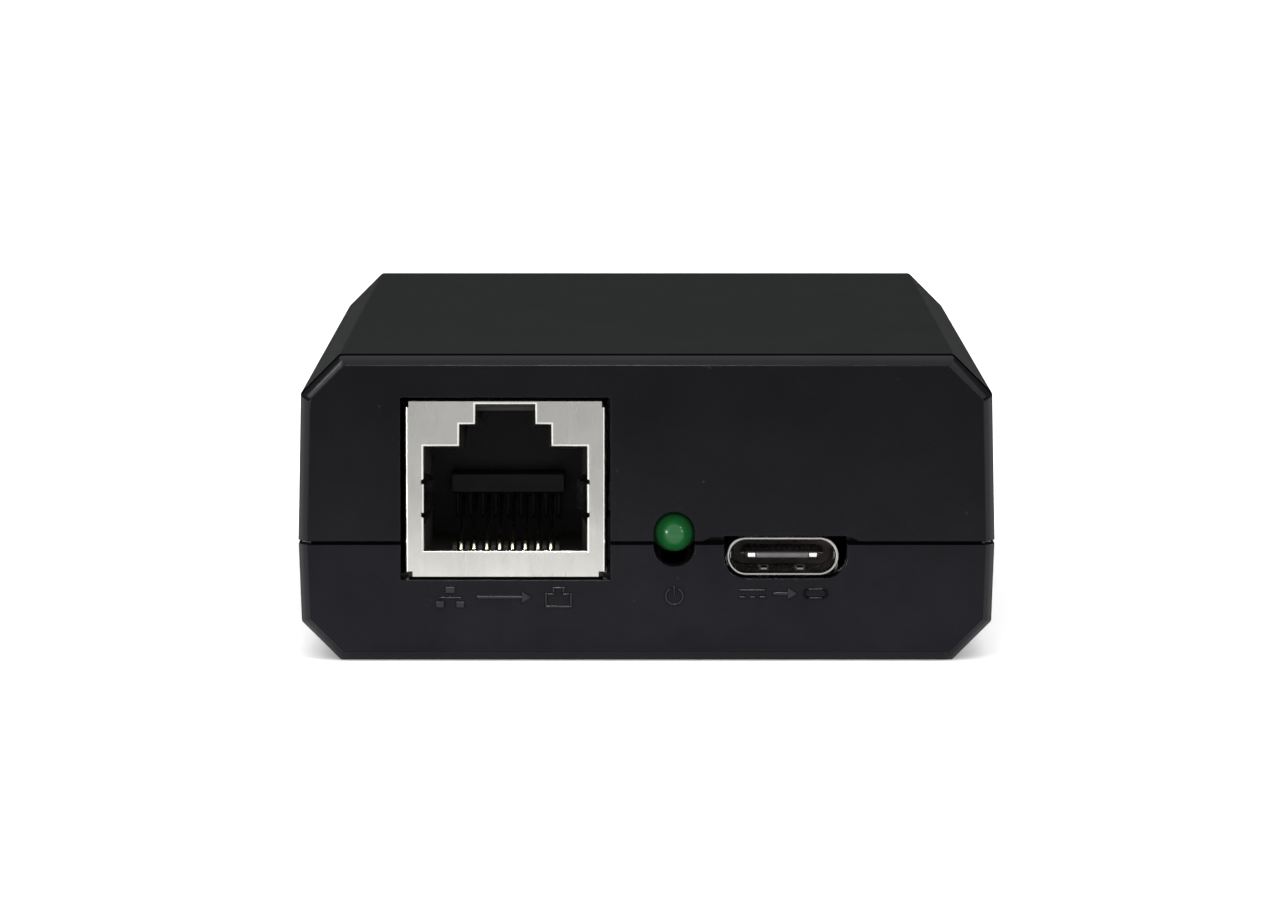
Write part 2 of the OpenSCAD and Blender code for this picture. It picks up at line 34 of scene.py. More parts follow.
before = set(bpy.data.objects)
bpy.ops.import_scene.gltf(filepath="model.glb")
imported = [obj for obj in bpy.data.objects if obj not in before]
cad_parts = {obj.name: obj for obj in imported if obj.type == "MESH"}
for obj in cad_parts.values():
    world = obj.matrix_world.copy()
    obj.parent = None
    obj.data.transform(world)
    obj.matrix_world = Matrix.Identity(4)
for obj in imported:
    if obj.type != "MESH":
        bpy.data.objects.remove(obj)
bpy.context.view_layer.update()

# ---------------------------------------------------------------- sizes, mm
# case: widths at the parting line, the top and the underside
HALF_L = 41.0
CASE_W, TOP_W, LOW_W, CASE_H = 55.3, 54.8, 54.85, 24.449
CORNER = 3.1
PART_Z = 9.6
WALL = 2.0
# bevelled rim round each end face, and its step down from the long walls
RIM_H, RIM_D = 0.75, 1.1
RIM_STEP = 0.11
# parting gap: its lower edge, its depth, and the eased edges beside it
GAP_Z, GAP_D = 9.36, 0.28
GAP_EASE = 0.04
# board top and thickness, and the four case screws
BOARD_Z, BOARD_T = 6.75, 1.6
SCREW_X, SCREW_Y = 20.6, 20.5
# shielded jacks: place and size of the shield, and the width, foot and head of the opening in the case
JACK_X, JACK_W, JACK_H, JACK_D, JACK_INSET = -11.19, 16.0, 14.0, 16.0, 0.35
JACK_CUT_W, JACK_CUT_Z0, JACK_CUT_Z1 = 16.63, 6.53, 21.05
SHEET = 0.25
# spring wires: their count, pitch, thickness, slope at rest (degrees) and length, their travel (degrees),
# and the middle and radius of the round front bend
WIRES, WIRE_PITCH, WIRE_D, WIRE_SLOPE, WIRE_LEN = 8, 1.02, 0.32, 18.4, 8.9
FLEX = 9
BEND_Y, BEND_Z, BEND_R = 2.2, 1.95, 0.55
# status light
LED_X, LED_Z, LED_D = 2.2, 10.1, 3.0
LED_TIP_Y = -40.5
# USB-C outlet: place, size and sheet, and the middle of its opening in the case
USB_X, USB_W, USB_H, USB_D, USB_INSET, USB_T = 10.8, 8.94, 3.16, 7.35, 0.7, 0.25
USB_CUT_X = USB_X + 0.22
# raised signs: thickness, and the heights of their middles below the jacks, the light and the USB-C outlet
SIGN_T = 0.15
JACK_SIGN_Z, LED_SIGN_Z, USB_SIGN_Z = 5.15, 5.25, 5.45
FLOOR = 6000


# ---------------------------------------------------------------- outlines
def fillet(points, radii, steps=4):
    """The closed 2D outline with each corner rounded by its radius (one number or one per corner)."""
    out = []
    n = len(points)
    for i in range(n):
        r = radii[i] if isinstance(radii, (list, tuple)) else radii
        p = Vector(points[i])
        if r <= 0:
            out.append(p)
            continue
        u = (Vector(points[i - 1]) - p).normalized()
        v = (Vector(points[(i + 1) % n]) - p).normalized()
        half = u.angle(v) / 2
        centre = p + (u + v).normalized() * (r / math.sin(half))
        start, end = p + u * (r / math.tan(half)), p + v * (r / math.tan(half))
        a0 = math.atan2(start.y - centre.y, start.x - centre.x)
        a1 = math.atan2(end.y - centre.y, end.x - centre.x)
        turn = (a1 - a0 + math.pi) % (2 * math.pi) - math.pi
        for s in range(steps + 1):
            a = a0 + turn * s / steps
            out.append(centre + Vector((math.cos(a), math.sin(a))) * r)
    return out


def grow(outline, d):
    """The closed 2D outline moved outwards by d, mitred."""
    pts = [Vector(p) for p in outline]
    area = sum(a.x * b.y - b.x * a.y for a, b in zip(pts, pts[1:] + pts[:1]))
    side = 1 if area > 0 else -1
    out = []
    for i, p in enumerate(pts):
        e0 = (p - pts[i - 1]).normalized()
        e1 = (pts[(i + 1) % len(pts)] - p).normalized()
        n0 = Vector((e0.y, -e0.x)) * side
        n1 = Vector((e1.y, -e1.x)) * side
        m = n0 + n1
        out.append(p + m * (2 * d / m.length_squared) if m.length > 1e-6 else p + n0 * d)
    return out


def rect(x0, x1, z0, z1):
    """Outline of an upright rectangle."""
    return [(x0, z0), (x1, z0), (x1, z1), (x0, z1)]


def stadium(w, h, steps=16):
    """Outline of a slot with round ends, w wide and h high, centred."""
    out = []
    for side in (1, -1):
        for s in range(steps + 1):
            a = side * (math.pi / 2 - math.pi * s / steps)
            x = side * ((w - h) / 2 + math.cos(math.pi / 2 - math.pi * s / steps) * h / 2)
            out.append(Vector((x, math.sin(a) * h / 2)))
    return out


def both_sides(half):
    """Closed outline from the right half's points, low to high."""
    return list(half) + [(-x, z) for x, z in reversed(half)]


def round_in(r, steps=3):
    """(growth, depth) pairs of a quarter-round edge of radius r."""
    quarter = [math.pi / 2 * s / steps for s in range(steps + 1)]
    return [(r * (1 - math.sin(a)), r * (1 - math.cos(a))) for a in quarter]


def mirrored(x0, x1):
    """The span from x0 to x1 on the left side and on the right side, each as (low, high)."""
    return [tuple(sorted((side * x0, side * x1))) for side in (-1, 1)]


# ---------------------------------------------------------------- mesh helpers
def loft(bm, loops):
    """Closed skin through loops of 3D points."""
    rows = [[bm.verts.new(Vector(p) * MM) for p in loop] for loop in loops]
    n = len(rows[0])
    for a, b in zip(rows, rows[1:]):
        for i in range(n):
            j = (i + 1) % n
            bm.faces.new((a[i], a[j], b[j], b[i]))
    bm.faces.new(rows[0])
    bm.faces.new(rows[-1])


def at_y(outline, y):
    """The X-Z outline as 3D points at one Y."""
    return [(p[0], y, p[1]) for p in outline]


def prism_y(bm, outline, y0, y1):
    """Outline of (x, z) points swept along Y."""
    loft(bm, [at_y(outline, y0), at_y(outline, y1)])


def prism_z(bm, outline, z0, z1):
    """Outline of (x, y) points swept along Z."""
    loft(bm, [[(p[0], p[1], z) for p in outline] for z in (z0, z1)])


def prism_x(bm, outline, x0, x1):
    """Outline of (y, z) points swept along X."""
    loft(bm, [[(x, p[0], p[1]) for p in outline] for x in (x0, x1)])


def box(bm, x0, x1, y0, y1, z0, z1):
    """Block between two places on each axis."""
    prism_z(bm, rect(x0, x1, y0, y1), z0, z1)


def box_of(*sizes):
    """A fill function for one box."""
    return lambda bm: box(bm, *sizes)


def lathe(bm, profile, centre, axis, segments=48):
    """Turn (radius, height) points about an axis; points with radius 0 close the shape."""
    turn = Vector((0, 0, 1)).rotation_difference(Vector(axis)).to_matrix()
    rows = []
    for r, h in profile:
        if r < 1e-6:
            rows.append([bm.verts.new((Vector(centre) + turn @ Vector((0, 0, h))) * MM)])
            continue
        row = []
        for a in angles(segments):
            p = Vector((math.cos(a) * r, math.sin(a) * r, h))
            row.append(bm.verts.new((Vector(centre) + turn @ p) * MM))
        rows.append(row)
    for a, b in zip(rows, rows[1:]):
        for s in range(segments):
            t = (s + 1) % segments
            if len(a) == 1:
                bm.faces.new((a[0], b[t], b[s]))
            elif len(b) == 1:
                bm.faces.new((a[s], a[t], b[0]))
            else:
                bm.faces.new((a[s], a[t], b[t], b[s]))


def angles(n):
    """n angles round the full circle."""
    return [2 * math.pi * i / n for i in range(n)]


def tube(bm, path, radius, segments=12):
    """Round wire along a path that lies in one Y-Z plane."""
    pts = [Vector(p) for p in path]
    side = Vector((1, 0, 0))
    loops = []
    for i, p in enumerate(pts):
        ahead = (pts[min(i + 1, len(pts) - 1)] - p).normalized()
        behind = (p - pts[max(i - 1, 0)]).normalized()
        up = (ahead + behind).normalized().cross(side)
        loops.append([p + (side * math.cos(a) + up * math.sin(a)) * radius for a in angles(segments)])
    loft(bm, loops)


def in_metres(place):
    """The turn and shift of a placement given in mm, with the shift in metres."""
    loc, rot, _ = place.decompose()
    return Matrix.Translation(loc * MM) @ rot.to_matrix().to_4x4()


def build(name, fill, place=None):
    """A new object from fill(bm), with its normals outward, optionally moved by a matrix (mm)."""
    bm = bmesh.new()
    fill(bm)
    if place is not None:
        bmesh.ops.transform(bm, matrix=in_metres(place), verts=bm.verts)
    bmesh.ops.recalc_face_normals(bm, faces=bm.faces)
    mesh = bpy.data.meshes.new(name)
    bm.to_mesh(mesh)
    bm.free()
    ob = bpy.data.objects.new(name, mesh)
    bpy.context.scene.collection.objects.link(ob)
    return ob


def seat(ob, place):
    """Move a finished mesh from its own frame to the part's."""
    ob.data.transform(in_metres(place))


def bake(ob):
    """Turn the object's modifiers into mesh."""
    dg = bpy.context.evaluated_depsgraph_get()
    mesh = bpy.data.meshes.new_from_object(ob.evaluated_get(dg))
    ob.modifiers.clear()
    old, ob.data = ob.data, mesh
    bpy.data.meshes.remove(old)


def carve(ob, *fills, how="DIFFERENCE"):
    """Cut (or join, or keep) each filled shape from the object, and bake it."""
    cutters = [build("cutter", f) for f in fills]
    for c in cutters:
        mod = ob.modifiers.new("carve", "BOOLEAN")
        mod.operation, mod.solver, mod.object = how, "EXACT", c
    bpy.context.view_layer.update()
    bake(ob)
    for c in cutters:
        bpy.data.objects.remove(c)


def bevel(ob, width, segments, angle):
    """Rounded edges, width in mm, where the faces meet at more than angle degrees."""
    mod = ob.modifiers.new("edges", "BEVEL")
    mod.width, mod.segments = width * MM, segments
    mod.limit_method, mod.angle_limit = "ANGLE", math.radians(angle)


def flat_normals(ob):
    """Normals that follow the larger faces."""
    mod = ob.modifiers.new("flats", "WEIGHTED_NORMAL")
    mod.keep_sharp = True
    return mod


def soften(ob, width=0, segments=2, angle=40):
    """Smooth shading, and rounded edges where a width (mm) is given."""
    if width:
        bevel(ob, width, segments, angle)
    ob.data.shade_smooth()
    ob.data.set_sharp_from_angle(angle=math.radians(35))
    flat_normals(ob).weight = 80


def piece(ob, body, nodes, slot, *materials):
    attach(ob, body)
    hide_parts(*nodes)
    ob.data.materials.clear()
    for m in materials:
        ob.data.materials.append(m)


def paint(ob, choose):
    """Give each face the material that choose(centre in mm, normal) numbers."""
    for p in ob.data.polygons:
        p.material_index = choose(p.center / MM, p.normal)


# ---------------------------------------------------------------- materials
def new_material(name):
    """A node material, with its node tree and its Principled shader."""
    mat = bpy.data.materials.new(name)
    mat.use_nodes = True
    nt = mat.node_tree
    return mat, nt, nt.nodes["Principled BSDF"]


def grey(v):
    return (v, v, v)


def object_place(nt):
    """Socket with the shaded point in the object's own frame, metres."""
    return nt.nodes.new("ShaderNodeTexCoord").outputs["Object"]


def add_noise(nt, scale, detail=3.0, roughness=0.5, stretch=None):
    """Noise on object coordinates; scale is per metre."""
    source = object_place(nt)
    if stretch:
        mapping = nt.nodes.new("ShaderNodeMapping")
        mapping.inputs["Scale"].default_value = stretch
        nt.links.new(source, mapping.inputs["Vector"])
        source = mapping.outputs["Vector"]
    noise = nt.nodes.new("ShaderNodeTexNoise")
    noise.inputs["Scale"].default_value = scale
    noise.inputs["Detail"].default_value = detail
    noise.inputs["Roughness"].default_value = roughness
    nt.links.new(source, noise.inputs["Vector"])
    return noise.outputs["Fac"]


def ramp(nt, source, stops):
    """Colours over a 0..1 value: stops are (position, colour)."""
    node = nt.nodes.new("ShaderNodeValToRGB")
    elements = node.color_ramp.elements
    while len(elements) > len(stops):
        elements.remove(elements[-1])
    while len(elements) < len(stops):
        elements.new(1.0)
    for e, (pos, col) in zip(elements, stops):
        e.position = pos
        e.color = (*col, 1)
    nt.links.new(source, node.inputs["Fac"])
    return node.outputs["Color"]


def along(nt, axis, start, end):
    """0..1 value between two places (mm) on one axis."""
    split = nt.nodes.new("ShaderNodeSeparateXYZ")
    span = nt.nodes.new("ShaderNodeMapRange")
    span.inputs["From Min"].default_value = start * MM
    span.inputs["From Max"].default_value = end * MM
    nt.links.new(object_place(nt), split.inputs["Vector"])
    nt.links.new(split.outputs[axis], span.inputs["Value"])
    return span.outputs["Result"]


def painted_height_shade(nt, colour, z0, z1, top):
    """The colour darkened towards the given factor between two heights, mm: painted shade that changes with
    height.
    """
    tint = ramp(nt, along(nt, "Z", z0, z1), [(0.0, grey(1)), (1.0, grey(top))])
    mix = nt.nodes.new("ShaderNodeMix")
    mix.data_type, mix.blend_type = "RGBA", "MULTIPLY"
    mix.inputs["Factor"].default_value = 1.0
    nt.links.new(colour, mix.inputs["A"])
    nt.links.new(tint, mix.inputs["B"])
    return mix.outputs["Result"]


def dusted(nt, colour, level):
    """The colour with small specks of a light grey level strewn over it."""
    cells = nt.nodes.new("ShaderNodeTexVoronoi")
    cells.inputs["Scale"].default_value = 380.0
    nt.links.new(object_place(nt), cells.inputs["Vector"])
    dots = ramp(nt, cells.outputs["Distance"], [(0.0, grey(1)), (0.02, grey(1)), (0.05, grey(0))])
    mix = nt.nodes.new("ShaderNodeMix")
    mix.data_type = "RGBA"
    mix.inputs["B"].default_value = (level, level, level * 1.05, 1)
    nt.links.new(dots, mix.inputs["Factor"])
    nt.links.new(colour, mix.inputs["A"])
    return mix.outputs["Result"]


def add_grain(nt, bsdf, height, strength, depth):
    """Bump from a noise value; depth is in metres."""
    node = nt.nodes.new("ShaderNodeBump")
    node.inputs["Strength"].default_value = strength
    node.inputs["Distance"].default_value = depth
    nt.links.new(height, node.inputs["Height"])
    nt.links.new(node.outputs["Normal"], bsdf.inputs["Normal"])


def plastic(name, dark, light, rough, specular, grain=9000.0, bump=0.15, specks=0.0, shade_by_height=None):
    """Moulded plastic: fine grain in bump and roughness, faint cloudy colour, optional light specks, and
    optional painted shade that darkens it with height.
    """
    mat, nt, bsdf = new_material(name)
    colour = ramp(nt, add_noise(nt, 160.0, 4.0, 0.6), [(0.3, dark), (0.7, light)])
    if shade_by_height:
        colour = painted_height_shade(nt, colour, *shade_by_height)
    if specks:
        colour = dusted(nt, colour, specks)
    nt.links.new(colour, bsdf.inputs["Base Color"])
    fine = add_noise(nt, grain, 2.0, 0.6)
    spread = ramp(nt, fine, [(0.3, grey(rough - 0.06)), (0.7, grey(rough + 0.06))])
    nt.links.new(spread, bsdf.inputs["Roughness"])
    bsdf.inputs["Specular IOR Level"].default_value = specular
    add_grain(nt, bsdf, fine, bump, 0.00004)
    return mat


def metal(name, dark, light, rough, stretch=(1, 1, 1), scale=900.0, bump=0.05, shade_by_height=None):
    """Plated metal with a faint drawn grain and clouded tone, and optional painted shade that darkens it with
    height.
    """
    mat, nt, bsdf = new_material(name)
    bsdf.inputs["Metallic"].default_value = 1.0
    colour = ramp(nt, add_noise(nt, 260.0, 4.0, 0.6), [(0.3, dark), (0.7, light)])
    if shade_by_height:
        colour = painted_height_shade(nt, colour, *shade_by_height)
    nt.links.new(colour, bsdf.inputs["Base Color"])
    lines = add_noise(nt, scale, 3.0, 0.6, stretch)
    spread = ramp(nt, lines, [(0.3, grey(rough - 0.05)), (0.7, grey(rough + 0.07))])
    nt.links.new(spread, bsdf.inputs["Roughness"])
    add_grain(nt, bsdf, lines, bump, 0.00003)
    return mat


# case: top and long walls, end faces (with painted shade towards the top), bevelled rims, raised signs, and
# near-black painted shade for the rim step and parting gap
case_textured = plastic("case_textured", (0.0034, 0.004, 0.0037), (0.0046, 0.0053, 0.005), 0.6, 0.055,
                        6500.0, 0.5)
# painted shade: the smooth end faces darken towards the top, to 0.42 of their tone between 3 mm and 20 mm up
case_smooth = plastic("case_smooth", (0.004, 0.004, 0.0054), (0.006, 0.006, 0.0076), 0.25, 0.046,
                      9000.0, 0.12, 0.012, (3, 20, 0.42))
case_rim = plastic("case_rim", (0.0022, 0.0021, 0.0031), (0.0034, 0.0033, 0.0046), 0.15, 0.076,
                   9000.0, 0.05)
sign_plastic = plastic("sign_plastic", (0.0026, 0.0025, 0.0036), (0.0038, 0.0037, 0.005), 0.22, 0.2,
                       9000.0, 0.05)
# painted shade: near-black, dull plastic on the faces of the rim step and the parting gap, standing in for
# the shadow in them
case_shade_seam = plastic("case_shade_seam", grey(0.0004), grey(0.0008), 0.9, 0.01)

# shielded jacks: the sheet (painted shade towards the top), lighter copies of its nickel on the opening edge
# and the outer folds (painted highlights), the plastics, and the wires (the free spring wires in a darkened
# gold: painted shade)
# painted shade and reflection: the sheet is lightest low down and darkens towards the top, to 0.66 of its
# tone between 6.5 mm and 13.5 mm up
nickel = metal("nickel", (0.31, 0.305, 0.29), (0.355, 0.349, 0.332), 0.24, (1, 1, 0.12),
               shade_by_height=(6.5, 13.5, 0.66))
# painted highlights: lighter copies of the nickel for the rounded edge of the opening and for the outer folds
nickel_edge_highlight = metal("nickel_edge_highlight", (0.36, 0.354, 0.336), (0.44, 0.433, 0.412), 0.2)
nickel_fold_highlight = metal("nickel_fold_highlight", (0.62, 0.61, 0.58), (0.72, 0.71, 0.68), 0.2)
jack_black = plastic("jack_black", (0.0075, 0.0068, 0.0058), (0.01, 0.0092, 0.008), 0.45, 0.16)
insert_grey = plastic("insert_grey", grey(0.0018), grey(0.0034), 0.5, 0.08)
gold = metal("gold", (0.5, 0.44, 0.33), (0.62, 0.56, 0.44), 0.24)
# painted shade: the free spring wires are a much darker copy of the gold, for the shade deep in the plug
# space
wire_gold_shaded = metal("wire_gold_shaded", (0.06, 0.052, 0.038), (0.1, 0.088, 0.064), 0.3)

# USB-C outlet: shell outside, and its inside painted lighter and browner (painted reflection); tongue tip,
# and its base in a lighter, browner copy (painted light); the plate's ears painted bright (painted
# highlight), its side edges and front bar a darker copy (painted shade); contact strips in a darkened gold
# (painted shade)
usb_metal = metal("usb_metal", (0.2, 0.197, 0.194), (0.27, 0.267, 0.263), 0.25)
# painted reflection: the inside of the shell is a lighter, browner copy of the outside's steel
usb_inner_painted_light = metal("usb_inner_painted_light", (0.3, 0.262, 0.24), (0.42, 0.37, 0.342), 0.24)
usb_black = plastic("usb_black", (0.012, 0.0108, 0.0106), (0.019, 0.0172, 0.0168), 0.35, 0.3)
# painted light: the tongue's base deep in the shell is a lighter, browner copy of the tongue's plastic
usb_base_painted_light = plastic("usb_base_painted_light", (0.03, 0.024, 0.022), (0.045, 0.036, 0.033), 0.5, 0.2)
# painted highlight: the plate's bare ears are bright nickel; painted shade: its side edges and front bar are
# a much darker copy
nickel_ear_highlight = metal("nickel_ear_highlight", grey(0.4), grey(0.5), 0.25)
usb_plate_shaded = metal("usb_plate_shaded", (0.06, 0.058, 0.062), (0.11, 0.107, 0.112), 0.36, (1, 1, 1), 2500.0, 0.3)
# painted shade: the contact strips are a much darker, duller copy of the gold, deep in the shell
strip_gold_shaded = metal("strip_gold_shaded", (0.05, 0.045, 0.037), (0.075, 0.068, 0.058), 0.6)


# ---------------------------------------------------------------- case
def mirrored_section(half, radius):
    """Closed outline from the left half's three points, with all but its two feet rounded."""
    pts = [(-x, z) for x, z in half] + [(x, z) for x, z in reversed(half)]
    return fillet(pts, [0, radius, radius, radius, radius, 0], 4)


def upper_section(inset, drop=0.0):
    """X-Z outline of the upper half: walls in by inset, top and chamfers also down by drop."""
    k = math.sqrt(2) * (inset + drop)
    top_z = CASE_H - inset - drop
    side, foot = TOP_W / 2 - inset, CASE_W / 2 - inset
    line = TOP_W / 2 + CASE_H - CORNER - k
    return mirrored_section([(foot, PART_Z), (side, line - side), (line - top_z, top_z)], 0.45)


def lower_section(inset, drop=0.0):
    """X-Z outline of the lower half, which has no step; drop is there to match upper_section."""
    k = math.sqrt(2) * inset
    side, foot = LOW_W / 2 - inset, CASE_W / 2 - inset
    line = LOW_W / 2 - CORNER
    return mirrored_section([(foot, PART_Z), (side, side - line + k), (line - k + inset, inset)], 0.35)


def rim_profile():
    """(inset, depth) from the long walls to the end face, through the slightly crowned bevel."""
    mid = (RIM_H * 0.45, RIM_D * 0.47)
    return fillet([(0, 9), (0, RIM_D), mid, (RIM_H, 0), (9, 0)], [0, 0.1, 3.6, 0.2, 0], 5)[1:-1]


def case_block(section, step):
    """Solid block of one half with its bevelled rims; step lowers the rim against the top surface."""

    def fill(bm):
        rim = [(inset + 0.015, depth) for inset, depth in rim_profile()]
        first = rim[0][1]
        front = [at_y(section(inset, step), -HALF_L + depth) for inset, depth in rim]
        back = [at_y(section(inset, step), HALF_L - depth) for inset, depth in rim]
        walls = [at_y(section(0), -HALF_L + first), at_y(section(0), HALF_L - first)]
        loft(bm, front[::-1] + walls + back)

    return fill


def case_plan(inset):
    """X-Y outline of the case at its widest, drawn in by inset."""
    corners = []
    for sx, sy in ((-1, -1), (1, -1), (1, 1), (-1, 1)):
        a = (sx * (CASE_W / 2 - inset), sy * (HALF_L - RIM_D - inset))
        b = (sx * (CASE_W / 2 - RIM_H - inset), sy * (HALF_L - inset))
        corners += [a, b] if sx * sy > 0 else [b, a]
    return corners


def cup(levels):
    """Solid through the case plan at (z, inset) levels: what it keeps of a half forms the parting gap."""

    def fill(bm):
        loft(bm, [[(x, y, z) for x, y in case_plan(inset)] for z, inset in levels])

    return fill


def inner_prism(section, z_open):
    """Cutter for the hollow of one half, open at the parting line as far as z_open."""

    def fill(bm):
        outline = section(WALL)
        outline[0].y = outline[-1].y = z_open
        prism_y(bm, outline, -HALF_L + WALL, HALF_L - WALL)

    return fill


def plate(inset, z0, z1):
    """Flat block inside the walls, for the lip where the halves meet."""
    return box_of(-CASE_W / 2 + inset, CASE_W / 2 - inset, -HALF_L + inset, HALF_L - inset, z0, z1)


def cylinder_z(x, y, r, z0, z1, segments=32):
    """Upright cylinder."""

    def fill(bm):
        lathe(bm, [(0, z0), (r, z0), (r, z1), (0, z1)], (x, y, 0), (0, 0, 1), segments)

    return fill


def at_screws(r, z0, z1, segments=32):
    """Upright cylinders at the four screws."""
    return [cylinder_z(sx * SCREW_X, sy * SCREW_Y, r, z0, z1, segments) for sx in (-1, 1) for sy in (-1, 1)]


def window(outline, ease=0.12, end=-1):
    """Cutter for an opening in the wall at one end (-1 outlet, 1 inlet), with its outer edge rounded."""

    def fill(bm):
        face = end * HALF_L
        loops = [at_y(grow(outline, ease + 1), face + end)]
        loops += [at_y(grow(outline, g), face - end * d) for g, d in round_in(ease)]
        loft(bm, loops + [at_y(outline, face - end * (WALL + 1))])

    return fill


def jack_window():
    """Outline of the opening round a jack."""
    return fillet(rect(JACK_X - JACK_CUT_W / 2, JACK_X + JACK_CUT_W / 2, JACK_CUT_Z0, JACK_CUT_Z1), 0.12, 2)


def led_window():
    """Upright slot with round ends across the parting line."""
    return [Vector((-p.y, p.x)) + Vector((LED_X, 9.7625)) for p in stadium(4.375, 3.25, 12)]


def usb_window():
    """Outline of the opening round the USB-C outlet, up to just over the parting line."""
    return fillet(rect(USB_CUT_X - 4.85, USB_CUT_X + 4.85, 6.65, 10.0), [1.7, 1.7, 0.1, 0.1], 8)


def usb_relief(bm):
    """Shallow arch over the USB-C outlet, in the upper shell only."""
    arch = [(-6.4, -0.5), (-6.4, 0), (-5.6, 0.37), (5.45, 0.37), (6.1, 0), (6.1, -0.5)]
    prism_y(bm, [(USB_X + x, PART_Z + z) for x, z in arch], -HALF_L - 1, -HALF_L + 3)


def end_windows():
    """Cutters for all openings in both end walls."""
    return [window(jack_window()), window(jack_window(), end=1), window(led_window(), 0.13),
            window(usb_window(), 0.16)]


def jack_stops(bm):
    """Ribs under the roof that hold the jacks down."""
    for y0, y1 in mirrored(27, 37):
        for x in (JACK_X - 4, JACK_X + 4):
            box(bm, x - 0.6, x + 0.6, y0, y1, 20.87, CASE_H - WALL + 0.2)


def case_finish(c, n):
    """0 textured long walls, 1 smooth end faces, 2 near-black painted shade on the rim step and on the
    parting gap with its eased edges, 3 bevelled rim.
    """
    depth = HALF_L - abs(c.y)
    # painted shade: the rim step's face and the parting gap with its eased edges get the near-black seam
    step = abs(n.y) > 0.99 and RIM_D - 0.05 < depth < RIM_D + 0.3 and c.z > PART_Z + 2
    gap = GAP_Z - 0.05 < c.z < PART_Z and max(abs(c.x) - CASE_W / 2, abs(c.y) - HALF_L) > -0.5
    if step or gap:
        return 2
    if depth < RIM_D + 0.15:
        return 3 if 0.01 < depth < RIM_D and abs(n.y) < 0.97 else 1
    return 0


def finish_case(ob, node, slot):
    """Attach one half of the case to the case body, hide its CAD node, give it its materials, paint and
    smooth it.
    """
    piece(ob, "case", [node], slot, case_textured, case_smooth, case_shade_seam, case_rim)
    paint(ob, case_finish)
    soften(ob)


def make_upper_shell():
    """Upper half: its eased foot, hollow, screw posts, ribs and openings."""
    ob = build("upper_case", case_block(upper_section, RIM_STEP))
    levels = [(PART_Z, GAP_EASE), (PART_Z + GAP_EASE, 0), (PART_Z + GAP_EASE, -2), (CASE_H + 1, -2)]
    carve(ob, cup(levels), how="INTERSECT")
    carve(ob, inner_prism(upper_section, PART_Z - 1), plate(1.0, PART_Z - 1, PART_Z + 1.0))
    carve(ob, *at_screws(3.0, BOARD_Z, CASE_H - WALL + 0.2), jack_stops, how="UNION")
    carve(ob, *at_screws(1.3, BOARD_Z - 1, BOARD_Z + 9), *end_windows(), usb_relief)
    finish_case(ob, "upper_shell", "case_upper")


def make_lower_shell():
    """Lower half: the parting gap's floor, lip, hollow, posts under the board, screw holes and openings."""
    ob = build("lower_case", case_block(lower_section, 0.0))
    levels = [(PART_Z, GAP_D), (GAP_Z, GAP_D), (GAP_Z, GAP_EASE), (GAP_Z - GAP_EASE, 0),
              (GAP_Z - GAP_EASE, -2), (-1, -2)]
    carve(ob, cup(levels), how="INTERSECT")
    carve(ob, plate(1.1, PART_Z - 1, PART_Z + 0.9), how="UNION")
    carve(ob, inner_prism(lower_section, PART_Z + 2))
    rests = [cylinder_z(x, y, 1.4, 1.0, BOARD_Z - BOARD_T) for x in (-24.2, 24.2) for y in (-33, 0, 33)]
    carve(ob, *at_screws(4.0, 1.0, BOARD_Z - BOARD_T), *rests, how="UNION")
    carve(ob, *at_screws(2.75, -1, 2.5, 40), *at_screws(1.6, 1, 10), *end_windows())
    finish_case(ob, "lower_shell", "case_lower")


# ---------------------------------------------------------------- raised signs
# Each sign is a list of X-Z outlines about its own middle.
def ring_part(r0, r1, a0, a1, steps=20):
    """Part of a flat ring between two angles, degrees."""
    arc = [math.radians(a0 + (a1 - a0) * s / steps) for s in range(steps + 1)]
    outer = [(math.cos(a) * r1, math.sin(a) * r1) for a in arc]
    return outer + [(math.cos(a) * r0, math.sin(a) * r0) for a in reversed(arc)]


def arrow_sign(length):
    """Arrow to the right, from its tail."""
    return [rect(0, length - 0.7, -0.14, 0.14), [(length - 0.85, -0.55), (length, 0), (length - 0.85, 0.55)]]


def tree_sign():
    """Network: one box above, joined to two below."""
    shapes = [rect(-0.4, 0.4, 0.3, 0.85), rect(-0.9, 0.9, -0.12, 0.06), rect(-0.09, 0.09, 0.06, 0.3)]
    for s in (-1, 1):
        shapes.append(rect(s * 0.8 - 0.35, s * 0.8 + 0.35, -0.85, -0.3))
        shapes.append(rect(s * 0.8 - 0.09, s * 0.8 + 0.09, -0.3, -0.12))
    return shapes


def jack_sign():
    """Outline of a jack's opening, with strokes t wide."""
    t = 0.22
    return [rect(-1.1, 1.1, -0.85, -0.85 + t), rect(-1.1, -1.1 + t, -0.85 + t, 0.35),
            rect(1.1 - t, 1.1, -0.85 + t, 0.35), rect(-1.1 + t, -0.5 + t, 0.35 - t, 0.35),
            rect(0.5 - t, 1.1 - t, 0.35 - t, 0.35), rect(-0.5, -0.5 + t, 0.35, 0.85),
            rect(0.5 - t, 0.5, 0.35, 0.85), rect(-0.5 + t, 0.5 - t, 0.85 - t, 0.85)]


def power_sign():
    """Open ring with an upright stroke."""
    return [ring_part(0.56, 0.78, 115, 425), rect(-0.1, 0.1, 0, 0.85)]


def dc_sign():
    """Direct current: a bar over three dashes."""
    dashes = [rect(s * 0.79 - 0.26, s * 0.79 + 0.26, -0.4, -0.16) for s in (-1, 0, 1)]
    return [rect(-1.05, 1.05, 0.15, 0.39)] + dashes


